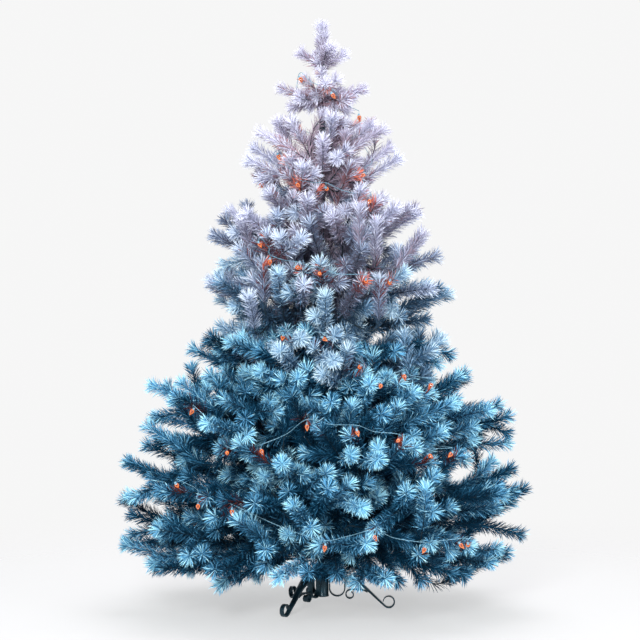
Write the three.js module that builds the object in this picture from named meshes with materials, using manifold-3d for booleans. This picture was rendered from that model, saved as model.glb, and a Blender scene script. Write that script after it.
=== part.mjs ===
// A frosted spruce Christmas tree of the kind that folds away: a steel pole with collars, hinged
// boughs, bottle-brush twigs and a wrought scroll stand with three legs.
// Millimetres, +Z up. The origin is on the floor, under the middle of the tree.
import * as THREE from "three";
import { mergeVertices } from "three/addons/utils/BufferGeometryUtils.js";
import Module from "manifold-3d";

const wasm = await Module();
wasm.setup();

// Driving dimensions
const HEIGHT = 2100; // floor to the needles of the leader
const FIT = 0.3; // clearance where one piece is seated on another
const SEED = 1225; // fixes every throw of the growing rule
const DEG = Math.PI / 180;

// The stand: a socket for the pole, carried by three legs of bent flat bar.
const SOCKET = { outer: 23.5, bottom: 40, top: 120 };
const LEG_TURNS = [-3, 117, 237]; // degrees about the pole, from +X
const BAR = { width: 20, brace: 4.5, braceEnd: 3.2 }; // drawn thinner where it curls
const LEG_BAR = { root: 8.5, heel: 5.5, end: 3 }; // forged thick, and drawn out towards its scroll
const FOOT = { r: 236, outer: 23, inner: 19, end: 180 }; // the scroll that the leg stands on
const LEG_SLOPE = 43; // degrees below level, where the leg runs straight down to its foot
const LEG_ROOT = 113; // height at which a leg leaves the socket
const ARCH = { r: 70, z: 117, pull: 130, end: 92, steps: 7 }; // its crest, and where it runs straight
const INNER_BRACE = { radius: 27, bottom: 42, ends: [104, 102.3] };
const OUTER_BRACE = { leaves: 78, runs: 96, steps: 4 }; // places up the leg's straight
const RING = { r: 99.5, z: 47.4, from: 17.2, to: 9.6, turn: [90, 430] }; // it winds in at the brace's end
const BEND_STEP = 20; // degrees between the facets of a bent bar
const SOLE = 3 * BEND_STEP; // degrees of bend about the foot's lowest point
const FOOT_BEND = FOOT.outer - LEG_BAR.heel / 2;
const FOOT_MIDDLE = FOOT.outer * Math.cos((BEND_STEP / 2) * DEG); // its lowest facet lies on the floor

// The pole: three lengths, each a little thinner, with a collar for each whorl of boughs.
const POLE_BOTTOM = 46;
const POLE = [
  { top: 790, radius: 15.5 },
  { top: 1400, radius: 13.5 },
  { top: 1786, radius: 11 },
];
const POLE_SIDES = 20;
const SOCKET_SIDES = 24;
const COLLAR = { proud: 6.5, half: 9, slope: 1 };
const SHOULDER = 2; // height over which one length of the pole narrows to the next

// The crown's outline, as height and radius of the furthest needles.
const CROWN = [
  [95, 520],
  [150, 640],
  [230, 738],
  [330, 722],
  [420, 744],
  [520, 736],
  [600, 690],
  [650, 706],
  [730, 650],
  [800, 640],
  [870, 500],
  [955, 486],
  [1035, 400],
  [1140, 466],
  [1240, 408],
  [1330, 422],
  [1425, 368],
  [1500, 268],
  [1600, 298],
  [1660, 214],
  [1708, 246],
  [1790, 150],
];

// Cones that part one whorl from the next: height at the pole, and rise towards the rim in degrees.
const SHELVES = [
  [115, 0],
  [262, 5],
  [447, 12],
  [667, 19],
  [850, 25],
  [1067, 28],
  [1347, 30],
  [1684, 32],
];

// How much a shelf swells and dips, as a share of the distance from the pole
const SWELL = 0.1;
const SKIRT = 0.07; // the lowest shelf droops under its boughs and rises between them

// Whorls from the lowest up: boughs in each, turn of the first, height of the collar, rise of the
// limb, where the hinged bough ends and the foliage takes over, and sprays to a mass.
const WHORLS = [
  { name: "whorl_1", count: 5, turn: 0, collar: 182, rise: 1, bough: 215, sprays: 8 },
  { name: "whorl_2", count: 5, turn: 36, collar: 338, rise: 8, bough: 205, sprays: 7 },
  { name: "whorl_3", count: 5, turn: 0, collar: 545, rise: 15, bough: 185, sprays: 7 },
  { name: "whorl_4", count: 5, turn: 36, collar: 745, rise: 20, bough: 0, sprays: 5 },
  { name: "whorl_5", count: 5, turn: 0, collar: 945, rise: 25, bough: 0, sprays: 5 },
  { name: "whorl_6", count: 4, turn: 45, collar: 1190, rise: 27, bough: 0, sprays: 4 },
  { name: "whorl_7", count: 4, turn: 0, collar: 1490, rise: 30, bough: 0, sprays: 4 },
];

// The top of the tree: small whorls and the leader on one upright stem.
const TOP_WHORLS = [
  { z: 1800, count: 4, turn: 4, reach: 178, tip: 1853, length: 122 },
  { z: 1798, count: 4, turn: 49, reach: 150, tip: 1800, length: 105 },
  { z: 1822, count: 3, turn: 80, reach: 92, tip: 1892, length: 70 },
  { z: 1912, count: 4, turn: 12, reach: 104, tip: 1988, length: 88 },
];
const TOP_STEM = { root: 6, end: 4, steps: 3, top: 1940 };
const TOP_NEEDLE = { leader: 40, side: 38 };

// Limbs, twigs and sprays
const BOUGH = { root: 5.5, end: 4.5, sides: 5, steps: 3 };
const STEM = { root: 4.2, end: 2.8, steps: 3 };
const TWIG = { radius: 3.4, steps: 1, knee: 0.5 };
const LIMB_DIP = 0.6; // share of its rise that a limb's third knot has, so that it curves up
const SPRAY = { needle: 62, core: 14, taper: 0.45, lean: 34, steps: 4, point: 0.6, twist: 32 };
const SPRAY_LENGTH = { least: 105, byRadius: 0.22, most: 0.62, play: 60 }; // grows with the whorl
const NEEDLE_CUTS = [1, 0.85, 0.7, 0.55, 0.4]; // a needle near its neighbours' space is shorter
const SPACING = 84; // nearest that the middles of two sprays of one mass may come
const EDGE = 24; // height that the tip of a spray keeps from the shelves
const ROOM = { spray: 20, twig: 12, needle: 1 }; // what each keeps from its neighbours' space
const PROBES = { spray: [0, 0.3, 0.6, 1], twig: [0.5, 0.8], near: 6 }; // where that is tried
const TRIES = 400;

// How the growing rule spreads its sprays. Angles are in degrees, fan and play in radians.
const PLACES = { steps: [0.7548776662, 0.569840291], margin: 4, shrink: 0.07 };
const FAN = { share: 1.55, play: 0.3 };
const LIFT = { follow: 0.9, level: 0.45, spread: 46, play: 18 };
const FORK = { back: 30, bySide: 0.9, fromFoot: 12, fromTip: 10 }; // where a twig leaves its stem
const GUESS = { limb: 300, spray: 400, rounds: 6 }; // where the search for a radius begins

// Tolerances of the joined meshes
const WELD = 1e-4;
const EVEN_OUT = 0.02;
const UPRIGHT = 0.9; // past this rise a limb's rings are squared to +X

// Materials
function paint(color, roughness, metalness) {
  return new THREE.MeshStandardMaterial({ color, roughness, metalness });
}
const IRON = paint(0x1d3745, 0.42, 0.7);
const STEEL = paint(0x1a2a35, 0.4, 0.75);
const WIRE = paint(0x24404a, 0.7, 0.2);
const NEEDLE_FINISH = { roughness: 0.75, metalness: 0 };
const NEEDLE_TINTS = [0x35708f, 0x35708f, 0x3d7a9a, 0x4d86a6, 0x6c9ab8, 0x8fadca, 0xa9b6d2, 0xb9bddb];

function needlePaint(level) {
  return paint(NEEDLE_TINTS[level], NEEDLE_FINISH.roughness, NEEDLE_FINISH.metalness);
}

const tree = new THREE.Group();
tree.name = "spruce_tree";

function add(name, geometry, material, turn = 0) {
  const mesh = new THREE.Mesh(geometry, material);
  mesh.name = name;
  mesh.rotation.z = turn * DEG;
  tree.add(mesh);
}

// Seeded dice: each call of what it returns gives the next number from 0 up to 1.
function dice(seed) {
  let state = seed >>> 0;
  return () => {
    state = (state + 0x6d2b79f5) >>> 0;
    let t = Math.imul(state ^ (state >>> 15), state | 1);
    t ^= t + Math.imul(t ^ (t >>> 7), t | 61);
    return ((t ^ (t >>> 14)) >>> 0) / 4294967296;
  };
}

function mix(a, b, share) {
  return a + (b - a) * share;
}

// Solids from and to the joining library
function solid(geometry) {
  const bare = geometry.clone();
  bare.deleteAttribute("normal");
  bare.deleteAttribute("uv");
  const merged = mergeVertices(bare, WELD);
  return new wasm.Manifold(
    new wasm.Mesh({
      numProp: 3,
      vertProperties: merged.attributes.position.array,
      triVerts: new Uint32Array(merged.index.array),
    }),
  );
}

function geometryOf(body) {
  const { vertProperties, triVerts } = body.getMesh();
  const geometry = new THREE.BufferGeometry();
  geometry.setAttribute("position", new THREE.BufferAttribute(vertProperties, 3));
  geometry.setIndex(new THREE.BufferAttribute(triVerts, 1));
  return geometry;
}

// One closed skin over rings of points along a limb. From ring spikeFrom on, each face between two
// rings is drawn out to a needle's point, as far out as that point is free, or left flat where
// none is. A limb with needles ends in a point of its own.
function skin(rings, spikeFrom = Infinity, needle = 0, free = () => true) {
  const points = rings.flatMap((ring) => ring.points);
  const sides = rings[0].points.length;
  const faces = [];
  for (let i = 0; i + 1 < rings.length; i += 1) {
    for (let j = 0; j < sides; j += 1) {
      const a = i * sides + j;
      const b = i * sides + ((j + 1) % sides);
      const c = b + sides;
      const d = a + sides;
      const middle = rings[i].middle.clone().lerp(rings[i + 1].middle, 0.5);
      const foot = new THREE.Vector3();
      [a, b, c, d].forEach((k) => foot.addScaledVector(points[k], 0.25));
      const out = foot.sub(middle).normalize().multiplyScalar(needle);
      out.addScaledVector(rings[i].along, SPRAY.lean);
      const apexes = NEEDLE_CUTS.map((cut) => middle.clone().addScaledVector(out, cut));
      const apex = i < spikeFrom ? undefined : apexes.find(free);
      if (!apex) {
        faces.push([a, b, c], [a, c, d]);
        continue;
      }
      const e = points.push(apex) - 1;
      faces.push([a, b, e], [b, c, e], [c, d, e], [d, a, e]);
    }
  }
  const last = (rings.length - 1) * sides;
  for (let j = 1; j + 1 < sides; j += 1) {
    faces.push([0, j + 1, j]);
    if (!needle) faces.push([last, last + j, last + j + 1]);
  }
  if (needle) {
    const end = rings[rings.length - 1];
    const tip = points.push(end.middle.clone().addScaledVector(end.along, end.beyond)) - 1;
    for (let j = 0; j < sides; j += 1) faces.push([last + j, last + ((j + 1) % sides), tip]);
  }
  const geometry = new THREE.BufferGeometry().setFromPoints(points);
  geometry.setIndex(faces.flat());
  return geometry;
}

// A ring of points square to a limb, whose first point turns on by a given angle.
function ring(middle, along, radius, sides, turn = 0) {
  const up = Math.abs(along.z) > UPRIGHT ? new THREE.Vector3(1, 0, 0) : new THREE.Vector3(0, 0, 1);
  const across = new THREE.Vector3().crossVectors(up, along).normalize();
  const over = new THREE.Vector3().crossVectors(along, across);
  const points = [];
  for (let j = 0; j < sides; j += 1) {
    const angle = (360 / sides) * j * DEG + turn * DEG;
    points.push(
      middle
        .clone()
        .addScaledVector(across, radius * Math.cos(angle))
        .addScaledVector(over, radius * Math.sin(angle)),
    );
  }
  return { middle, along, points };
}

// Rings along a stretch of a curve, thinning from one radius to the other.
function limbRings(curve, steps, from, to, sides, first = 0, last = 1) {
  const rings = [];
  for (let i = 0; i <= steps; i += 1) {
    const share = mix(first, last, i / steps);
    const along = curve.getTangent(share).normalize();
    rings.push(ring(curve.getPoint(share), along, mix(from, to, i / steps), sides));
  }
  return rings;
}

// The rings of a twig, running straight on into its spray of needles.
function sprayOn(twigRings, start, end, needle, free) {
  const rings = twigRings.slice(0, -1);
  const bare = rings.length;
  const along = end.clone().sub(start).normalize();
  const length = end.distanceTo(start);
  for (let i = 0; i <= SPRAY.steps; i += 1) {
    const share = i / (SPRAY.steps + SPRAY.point);
    const middle = start.clone().addScaledVector(along, length * share);
    const radius = SPRAY.core * (1 - SPRAY.taper * share);
    rings.push(ring(middle, along, radius, 3, SPRAY.twist * i));
  }
  rings[rings.length - 1].beyond = (length * SPRAY.point) / (SPRAY.steps + SPRAY.point);
  return skin(rings, bare, needle, free);
}

// Joins solids and keeps the one body: a sealed hollow is filled and a loose scrap dropped.
function join(geometries) {
  const whole = geometries.map(solid).reduce((a, b) => a.add(b));
  const bodies = whole.simplify(EVEN_OUT).decompose();
  return geometryOf(bodies.reduce((a, b) => (a.volume() > b.volume() ? a : b)));
}

// Lookups for the space that each mass keeps to
function crownRadius(z) {
  for (let i = 1; i < CROWN.length; i += 1) {
    const [z0, r0] = CROWN[i - 1];
    const [z1, r1] = CROWN[i];
    if (z <= z1) return mix(r0, r1, Math.max(0, (z - z0) / (z1 - z0)));
  }
  return CROWN[CROWN.length - 1][1];
}

// Shelf k lies under whorl k. It swells over the boughs of the whorl below it and dips between
// them. The lowest shelf has no whorl below and hangs down under its own boughs.
function shelfHeight(k, r, bearing) {
  const [height, rise] = SHELVES[k];
  const lobed = WHORLS[Math.max(k - 1, 0)];
  const share = k === 0 ? -SKIRT : SWELL;
  const swell = share * Math.cos(lobed.count * (bearing - lobed.turn * DEG));
  return height + r * (Math.tan(rise * DEG) + swell);
}

// A point is free for a twig of this size where it keeps that far from the shelf below, the shelf
// above and both sides of the wedge. Points are given about the bough, which runs along +X.
function isFree(point, size, { level, half, turn }) {
  const r = Math.hypot(point.x, point.y);
  const off = Math.atan2(point.y, point.x);
  const side = r * Math.sin(half * DEG - Math.abs(off));
  const below = point.z - shelfHeight(level, r, off + turn);
  const above = shelfHeight(level + 1, r, off + turn) - point.z;
  const steep = Math.cos(SHELVES[level + 1][1] * DEG);
  return side >= size && below * steep >= size && above * steep >= size;
}

function sprayLength(r, throwOfDice) {
  const { least, byRadius, most, play } = SPRAY_LENGTH;
  return Math.min(least + byRadius * r + play * throwOfDice, most * r);
}

// The line of a whorl's limb: level off the collar, then rising to where its last spray begins.
function limbLine(whorl) {
  const from = poleRadius(whorl.collar) + COLLAR.proud + FIT;
  const slope = Math.tan(whorl.rise * DEG);
  let reach = GUESS.limb;
  for (let i = 0; i < GUESS.rounds; i += 1) {
    reach = crownRadius(whorl.collar + slope * (reach - from));
  }
  const to = reach - sprayLength(reach, 0.5);
  const climb = slope * (to - from);
  const knots = [
    [from, 0],
    [mix(from, to, 1 / 3), 0],
    [mix(from, to, 2 / 3), LIMB_DIP * climb],
    [to, climb],
  ];
  const line = new THREE.CubicBezierCurve3(
    ...knots.map(([r, up]) => new THREE.Vector3(r, 0, whorl.collar + up)),
  );
  return { line, from, to, reach, share: (r) => (r - from) / (to - from) };
}

// The nearest that two straight stretches come, by trying points along both.
function nearest(a0, a1, b0, b1) {
  const stretch = new THREE.Line3(b0, b1);
  const on = new THREE.Vector3();
  let best = Infinity;
  for (let i = 0; i <= PROBES.near; i += 1) {
    const p = a0.clone().lerp(a1, i / PROBES.near);
    stretch.closestPointToPoint(p, true, on);
    best = Math.min(best, p.distanceTo(on));
  }
  return best;
}

// The place of one spray in its wedge. Steps of two odd fractions spread the places evenly over
// the rim, and the dice shift each a little.
function sprayPlace(whorl, wedge, n, odd, roll) {
  const [u, v] = PLACES.steps.map((step, i) => (odd[i] + n * step) % 1);
  const off = (2 * u - 1) * (wedge.half - PLACES.margin) * DEG;
  let r = GUESS.spray;
  let z = 0;
  for (let i = 0; i < GUESS.rounds; i += 1) {
    const low = shelfHeight(wedge.level, r, off + wedge.turn) + EDGE;
    const high = shelfHeight(wedge.level + 1, r, off + wedge.turn) - EDGE;
    z = mix(low, high, v);
    r = crownRadius(z);
  }
  r *= 1 - PLACES.shrink * roll();
  const length = sprayLength(r, roll());
  const fan = off * FAN.share + (roll() - 0.5) * FAN.play;
  const byHeight = (v - LIFT.level) * LIFT.spread;
  const lift = (whorl.rise * LIFT.follow + byHeight + (roll() - 0.5) * LIFT.play) * DEG;
  const end = new THREE.Vector3(r * Math.cos(off), r * Math.sin(off), z);
  const along = new THREE.Vector3(
    Math.cos(lift) * Math.cos(fan),
    Math.cos(lift) * Math.sin(fan),
    Math.sin(lift),
  );
  return { end, start: end.clone().addScaledVector(along, -length), along };
}

// Grows one mass in its wedge about +X: the stem with its own spray, then side sprays on twigs.
function growMass(whorl, level, index) {
  const roll = dice(SEED + 100 * level + index);
  const turn = (whorl.turn + (360 / whorl.count) * index) * DEG;
  const wedge = { level, half: 180 / whorl.count, turn };
  const { line, from, to, reach, share } = limbLine(whorl);
  const foot = whorl.bough ? whorl.bough + FIT : from;
  const start = line.getPoint(1);
  const along = line.getTangent(1).normalize();
  const end = start.clone().addScaledVector(along, (reach - to) / along.x);
  const stem = limbRings(line, STEM.steps, STEM.root, STEM.end, 3, share(foot));
  const sprays = [{ start, end }];
  const free = (point) => isFree(point, ROOM.needle, wedge);
  const pieces = [sprayOn(stem, start, end, SPRAY.needle, free)];
  const odd = [roll(), roll()];
  for (let n = 1; n <= TRIES && sprays.length < whorl.sprays; n += 1) {
    const place = sprayPlace(whorl, wedge, n, odd, roll);
    const near = Math.hypot(place.start.x, place.start.y);
    const wanted = near - FORK.bySide * Math.abs(place.start.y) - FORK.back;
    const rootAt = Math.min(Math.max(wanted, foot + FORK.fromFoot), to - FORK.fromTip);
    const root = line.getPoint(share(rootAt));
    const slack = TWIG.knee * place.start.distanceTo(root);
    const knee = place.start.clone().addScaledVector(place.along, -slack);
    const twig = new THREE.QuadraticBezierCurve3(root, knee, place.start);
    const onTwig = PROBES.twig.map((t) => twig.getPoint(t));
    const onSpray = PROBES.spray.map((t) => place.start.clone().lerp(place.end, t));
    if (!onTwig.every((p) => isFree(p, ROOM.twig, wedge))) continue;
    if (!onSpray.every((p) => isFree(p, ROOM.spray, wedge))) continue;
    if (sprays.some((s) => nearest(place.start, place.end, s.start, s.end) < SPACING)) continue;
    sprays.push(place);
    const rings = limbRings(twig, TWIG.steps, TWIG.radius, TWIG.radius, 3);
    pieces.push(sprayOn(rings, place.start, place.end, SPRAY.needle, free));
  }
  return join(pieces);
}

function poleRadius(z) {
  return POLE.find((length) => z <= length.top).radius;
}

// The pole is turned about +Z from its profile, with a collar at each whorl.
function pole() {
  const profile = [[0, POLE_BOTTOM]];
  let z = POLE_BOTTOM;
  const step = (r, height) => {
    profile.push([r, height]);
    z = height;
  };
  POLE.forEach(({ top, radius }) => {
    step(radius, z + (z === POLE_BOTTOM ? 0 : SHOULDER));
    WHORLS.filter(({ collar }) => collar > z && collar < top).forEach(({ collar }) => {
      const wide = radius + COLLAR.proud;
      step(radius, collar - COLLAR.half - COLLAR.slope);
      step(wide, collar - COLLAR.half);
      step(wide, collar + COLLAR.half);
      step(radius, collar + COLLAR.half + COLLAR.slope);
    });
    step(radius, top);
  });
  profile.push([0, z]);
  const points = profile.map(([r, height]) => new THREE.Vector2(r, height));
  return new THREE.LatheGeometry(points, POLE_SIDES).rotateX(Math.PI / 2);
}

function socket() {
  const bore = (POLE[0].radius + FIT) / Math.cos(Math.PI / SOCKET_SIDES);
  const { outer, bottom, top } = SOCKET;
  const corners = [
    [bore, bottom],
    [outer, bottom],
    [outer, top],
    [bore, top],
    [bore, bottom],
  ];
  const points = corners.map(([r, z]) => new THREE.Vector2(r, z));
  return new THREE.LatheGeometry(points, SOCKET_SIDES).rotateX(Math.PI / 2);
}

// Points of a bend in the plane of a leg: about a middle, between two angles, the radius easing
// from one value to the other.
function bend(r, z, fromAngle, toAngle, fromRadius, toRadius = fromRadius) {
  const steps = Math.max(1, Math.round(Math.abs(toAngle - fromAngle) / BEND_STEP));
  const points = [];
  for (let i = 0; i <= steps; i += 1) {
    const angle = mix(fromAngle, toAngle, i / steps) * DEG;
    const radius = mix(fromRadius, toRadius, i / steps);
    points.push(new THREE.Vector2(r + radius * Math.cos(angle), z + radius * Math.sin(angle)));
  }
  return points;
}

// A flat bar bent along a line: its edge outline, given the bar's width. Its thickness is told for
// each point of the line.
function bentBar(line, thickness) {
  const left = [];
  const right = [];
  line.forEach((p, i) => {
    const before = line[Math.max(i - 1, 0)];
    const after = line[Math.min(i + 1, line.length - 1)];
    const across = after.clone().sub(before).normalize().rotateAround(new THREE.Vector2(), Math.PI / 2);
    const half = thickness(i, line.length - 1) / 2;
    left.push(p.clone().addScaledVector(across, half));
    right.unshift(p.clone().addScaledVector(across, -half));
  });
  const outline = new THREE.Shape([...left, ...right]);
  const bar = new THREE.ExtrudeGeometry(outline, { depth: BAR.width, bevelEnabled: false });
  return bar.translate(0, 0, -BAR.width / 2).rotateX(Math.PI / 2);
}

// A brace may be drawn down thinner over its last third.
function braceThickness(end = BAR.brace) {
  return (i, last) => mix(BAR.brace, end, Math.max(0, (3 * i) / last - 2));
}

// A leg thins down its straight to the heel, keeps that round the sole, and thins on to its end.
function legThickness(i, last) {
  const heelEnd = ARCH.steps + 2 + SOLE / BEND_STEP;
  if (i <= ARCH.steps) return LEG_BAR.root;
  return mix(LEG_BAR.heel, LEG_BAR.end, Math.max(0, (i - heelEnd) / (last - heelEnd)));
}

// A point of the leg's straight: so far up from the foot's bend, and so far under the bar's middle.
function legStraight(up, under = 0) {
  const slope = new THREE.Vector2(-Math.cos(LEG_SLOPE * DEG), Math.sin(LEG_SLOPE * DEG));
  const down = new THREE.Vector2(-slope.y, slope.x);
  const start = new THREE.Vector2(FOOT.r, FOOT_MIDDLE).addScaledVector(down, FOOT_BEND);
  return start.addScaledVector(slope, up).addScaledVector(down, under);
}

// The leg's own line: off the socket, over in an arch, straight down and round the foot's scroll.
function legLine() {
  const sole = [-90 - SOLE / 2, -90 + SOLE / 2];
  const heel = bend(FOOT.r, FOOT_MIDDLE, sole[0], sole[1], FOOT_BEND);
  const curl = bend(FOOT.r, FOOT_MIDDLE, sole[1], FOOT.end, FOOT_BEND, FOOT.inner);
  const off = new THREE.Vector2(SOCKET.outer + FIT, LEG_ROOT);
  const over = new THREE.Vector2(ARCH.r, ARCH.z);
  const arch = new THREE.CubicBezierCurve(off, over, legStraight(ARCH.pull), legStraight(ARCH.end));
  return [...arch.getPoints(ARCH.steps), legStraight(0), ...heel, ...curl.slice(1)];
}

// The inner brace hangs in a U between the socket's wall and the leg's underside.
function innerBraceLine() {
  const left = SOCKET.outer + FIT + BAR.brace / 2;
  const right = left + 2 * INNER_BRACE.radius;
  const middle = INNER_BRACE.bottom + INNER_BRACE.radius;
  const hang = bend(mix(left, right, 0.5), middle, 180, 360, INNER_BRACE.radius);
  const [from, to] = INNER_BRACE.ends;
  return [new THREE.Vector2(left, from), ...hang, new THREE.Vector2(right, to)];
}

// The outer brace leaves the leg's underside, runs level and ends in a small ring.
function outerBraceLine() {
  const { r, z, from, to, turn } = RING;
  const { leaves, runs, steps } = OUTER_BRACE;
  const curl = bend(r, z, turn[0], turn[1], from, to);
  const legHere = mix(LEG_BAR.heel, LEG_BAR.root, leaves / ARCH.end);
  const under = legHere / 2 + FIT + BAR.brace / 2;
  const run = new THREE.QuadraticBezierCurve(
    legStraight(leaves, under),
    legStraight(runs, under),
    curl[0],
  );
  return [...run.getPoints(steps), ...curl.slice(1)];
}

// A bough of its whorl: one tapering limb from the collar to where its foliage begins.
function bough(whorl) {
  const { line, share } = limbLine(whorl);
  const last = share(whorl.bough);
  return skin(limbRings(line, BOUGH.steps, BOUGH.root, BOUGH.end, BOUGH.sides, 0, last));
}

// The top: an upright stem that is the leader's own twig, with small whorls of sprays on it.
function top() {
  const stemFoot = new THREE.Vector3(0, 0, POLE[2].top + FIT);
  const leaderFoot = new THREE.Vector3(0, 0, TOP_STEM.top);
  const tip = new THREE.Vector3(0, 0, HEIGHT);
  const upright = new THREE.LineCurve3(stemFoot, leaderFoot);
  const stem = limbRings(upright, TOP_STEM.steps, TOP_STEM.root, TOP_STEM.end, 3);
  const pieces = [sprayOn(stem, leaderFoot, tip, TOP_NEEDLE.leader)];
  TOP_WHORLS.forEach(({ z, count, turn, reach, tip: tipHeight, length }) => {
    for (let i = 0; i < count; i += 1) {
      const angle = (turn + (360 / count) * i) * DEG;
      const end = new THREE.Vector3(reach * Math.cos(angle), reach * Math.sin(angle), tipHeight);
      const root = new THREE.Vector3(0, 0, z);
      const start = end.clone().addScaledVector(end.clone().sub(root).normalize(), -length);
      const way = new THREE.LineCurve3(root, start);
      const twig = limbRings(way, TWIG.steps, TWIG.radius, TWIG.radius, 3);
      pieces.push(sprayOn(twig, start, end, TOP_NEEDLE.side));
    }
  });
  return join(pieces);
}

// The stand and the pole
add("pole", pole(), STEEL);
add("stand_socket", socket(), IRON);
LEG_TURNS.forEach((turn, i) => {
  add(`stand_leg_${i + 1}`, bentBar(legLine(), legThickness), IRON, turn);
  add(`stand_inner_brace_${i + 1}`, bentBar(innerBraceLine(), braceThickness()), IRON, turn);
  add(`stand_outer_brace_${i + 1}`, bentBar(outerBraceLine(), braceThickness(BAR.braceEnd)), IRON, turn);
});

// Boughs and foliage, whorl by whorl
WHORLS.forEach((whorl, level) => {
  const needles = needlePaint(level);
  for (let i = 0; i < whorl.count; i += 1) {
    const turn = whorl.turn + (360 / whorl.count) * i;
    if (whorl.bough) add(`${whorl.name}_bough_${i + 1}`, bough(whorl), WIRE, turn);
    add(`${whorl.name}_foliage_${i + 1}`, growMass(whorl, level, i), needles, turn);
  }
});
add("top_foliage", top(), needlePaint(WHORLS.length));

export default tree;
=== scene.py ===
# %% [markdown]
# # A frosted spruce Christmas tree
# The object is an artificial tree of the folding kind: a thin steel pole on a wrought scroll
# stand, hinged boughs, and tips made like bottle brushes. Its needles are strips of plastic film
# held in a twist of wire, frosted almost white at the top and left deep blue-green inside.
# The solids of the frame give every piece its place. Here each of them gets its finished form.

# %% Load the frame
import math

import bmesh
import bpy
import numpy as np
from mathutils import Matrix, Vector


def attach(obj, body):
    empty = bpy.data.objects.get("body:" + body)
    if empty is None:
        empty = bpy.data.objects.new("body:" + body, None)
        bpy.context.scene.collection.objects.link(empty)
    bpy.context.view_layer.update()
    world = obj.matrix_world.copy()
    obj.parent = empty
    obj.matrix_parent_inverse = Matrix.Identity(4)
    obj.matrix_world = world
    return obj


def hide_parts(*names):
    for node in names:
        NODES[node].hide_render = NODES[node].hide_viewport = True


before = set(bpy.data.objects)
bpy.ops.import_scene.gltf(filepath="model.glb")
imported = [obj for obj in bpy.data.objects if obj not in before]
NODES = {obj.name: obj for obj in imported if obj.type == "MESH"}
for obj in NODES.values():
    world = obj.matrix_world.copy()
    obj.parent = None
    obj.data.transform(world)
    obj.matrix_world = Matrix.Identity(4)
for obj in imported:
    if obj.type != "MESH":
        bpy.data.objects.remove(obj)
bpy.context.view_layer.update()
print("solids in the frame:", len(NODES))

# %% [markdown]
# ## Units and small helpers
# The growing rule below works in millimetres, because its sizes are those of twigs and needles.
# A mesh is made in metres, so every finished point is multiplied by MM once, at the very end.

# %% Units
MM = 0.001
DEG = math.pi / 180
SEED = 1225  # fixes every throw of the growing rule
FIT = 0.3  # clearance where one piece is seated on another


def mix(a, b, share):
    """The value that lies this share of the way from a to b."""
    return a + (b - a) * share


def unit(v):
    """A vector, or rows of vectors, at length one."""
    return v / np.linalg.norm(v, axis=-1, keepdims=True)


def polar(r, bearing, z):
    """The point at a distance from the pole, a bearing and a height."""
    return np.array([r * math.cos(bearing), r * math.sin(bearing), z])


# %% [markdown]
# ## The camera
# The photograph is taken level from about 6 m, a little below the tree's half height, with a
# long lens. The camera comes first, because some tips and the lamps are placed by where the
# photograph shows them.

# %% Camera
PICTURE = 640  # pixels along each side of the photograph
LENS, SENSOR = 98.04, 36.0
FOCAL = LENS / SENSOR * PICTURE  # the lens in those pixels
EYE = Vector((-0.0082, -6.2, 1.022))
camera_data = bpy.data.cameras.new("camera")
camera_data.lens, camera_data.sensor_width = LENS, SENSOR
camera = bpy.data.objects.new("camera", camera_data)
camera.location = EYE
camera.rotation_euler = (math.pi / 2, 0, 0)
bpy.context.scene.collection.objects.link(camera)
bpy.context.scene.camera = camera


def ray(x, y):
    """The direction in which the camera sees a place of the 640 by 640 picture."""
    return Vector((x - PICTURE / 2, FOCAL, PICTURE / 2 - y)).normalized()


def pixels(points):
    """Where a row of points, in millimetres, falls in that picture."""
    off = points * MM - np.array(EYE)
    scale = FOCAL / off[:, 1]
    return PICTURE / 2 + off[:, 0] * scale, PICTURE / 2 - off[:, 2] * scale


# %% [markdown]
# ## Dice that always fall the same way
# A tree looks grown when no two tips are alike, yet the script has to give the same tree on every
# run. These dice are a 32-bit scrambler: one seed gives one row of numbers, in any language, which
# is why the frame's own foliage and this script agree on where each tip stands.

# %% Dice
WORD = 0xFFFFFFFF
STRIDE = 0x6D2B79F5  # the step that the scrambler's counter takes at each throw


def dice(seed):
    """Seeded dice: each call of what it returns gives the next number from 0 up to 1."""
    state = seed & WORD

    def roll():
        nonlocal state
        state = (state + STRIDE) & WORD
        t = ((state ^ (state >> 15)) * (state | 1)) & WORD
        t ^= (t + (((t ^ (t >> 7)) * (t | 61)) & WORD)) & WORD
        return (t ^ (t >> 14)) / (WORD + 1)

    return roll


print("first throws:", [round(dice(SEED)(), 6), round(dice(SEED + 1)(), 6)])

# %% [markdown]
# ## The plan of the crown
# A folding tree is a pole with whorls of limbs. The crown's outline is a list of heights and
# radii, and cone-shaped shelves part one whorl's space from the next. The shelves swell over the
# boughs below and dip between them, so that the whorls interlock as they do on the real tree.

# %% Crown and whorls
CROWN = np.array([  # height and radius of the outline, from the skirt up
    [95, 520], [150, 640], [230, 738], [330, 722], [420, 744], [520, 736], [600, 690], [650, 706],
    [730, 650], [800, 640], [870, 500], [955, 486], [1035, 400], [1140, 466], [1240, 408],
    [1330, 422], [1425, 368], [1500, 268], [1600, 298], [1660, 214], [1708, 246], [1790, 150],
], float)
# height at the pole and rise in degrees of each shelf
SHELVES = [(115, 0), (262, 5), (447, 12), (667, 19), (850, 25), (1067, 28), (1347, 30), (1684, 32)]
SWELL, SKIRT = 0.1, 0.07  # shares of the distance by which the shelves swell and the lowest droops
SKIRT_LIFT = {"least": 25, "between": 35}  # fine sprays keep off the lowest shelf, more between boughs
POLE = [(790, 15.5), (1400, 13.5), (1786, 11)]  # top and radius of each length
POLE_BOTTOM = 46
COLLAR = {"proud": 6.5, "half": 9}


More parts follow.
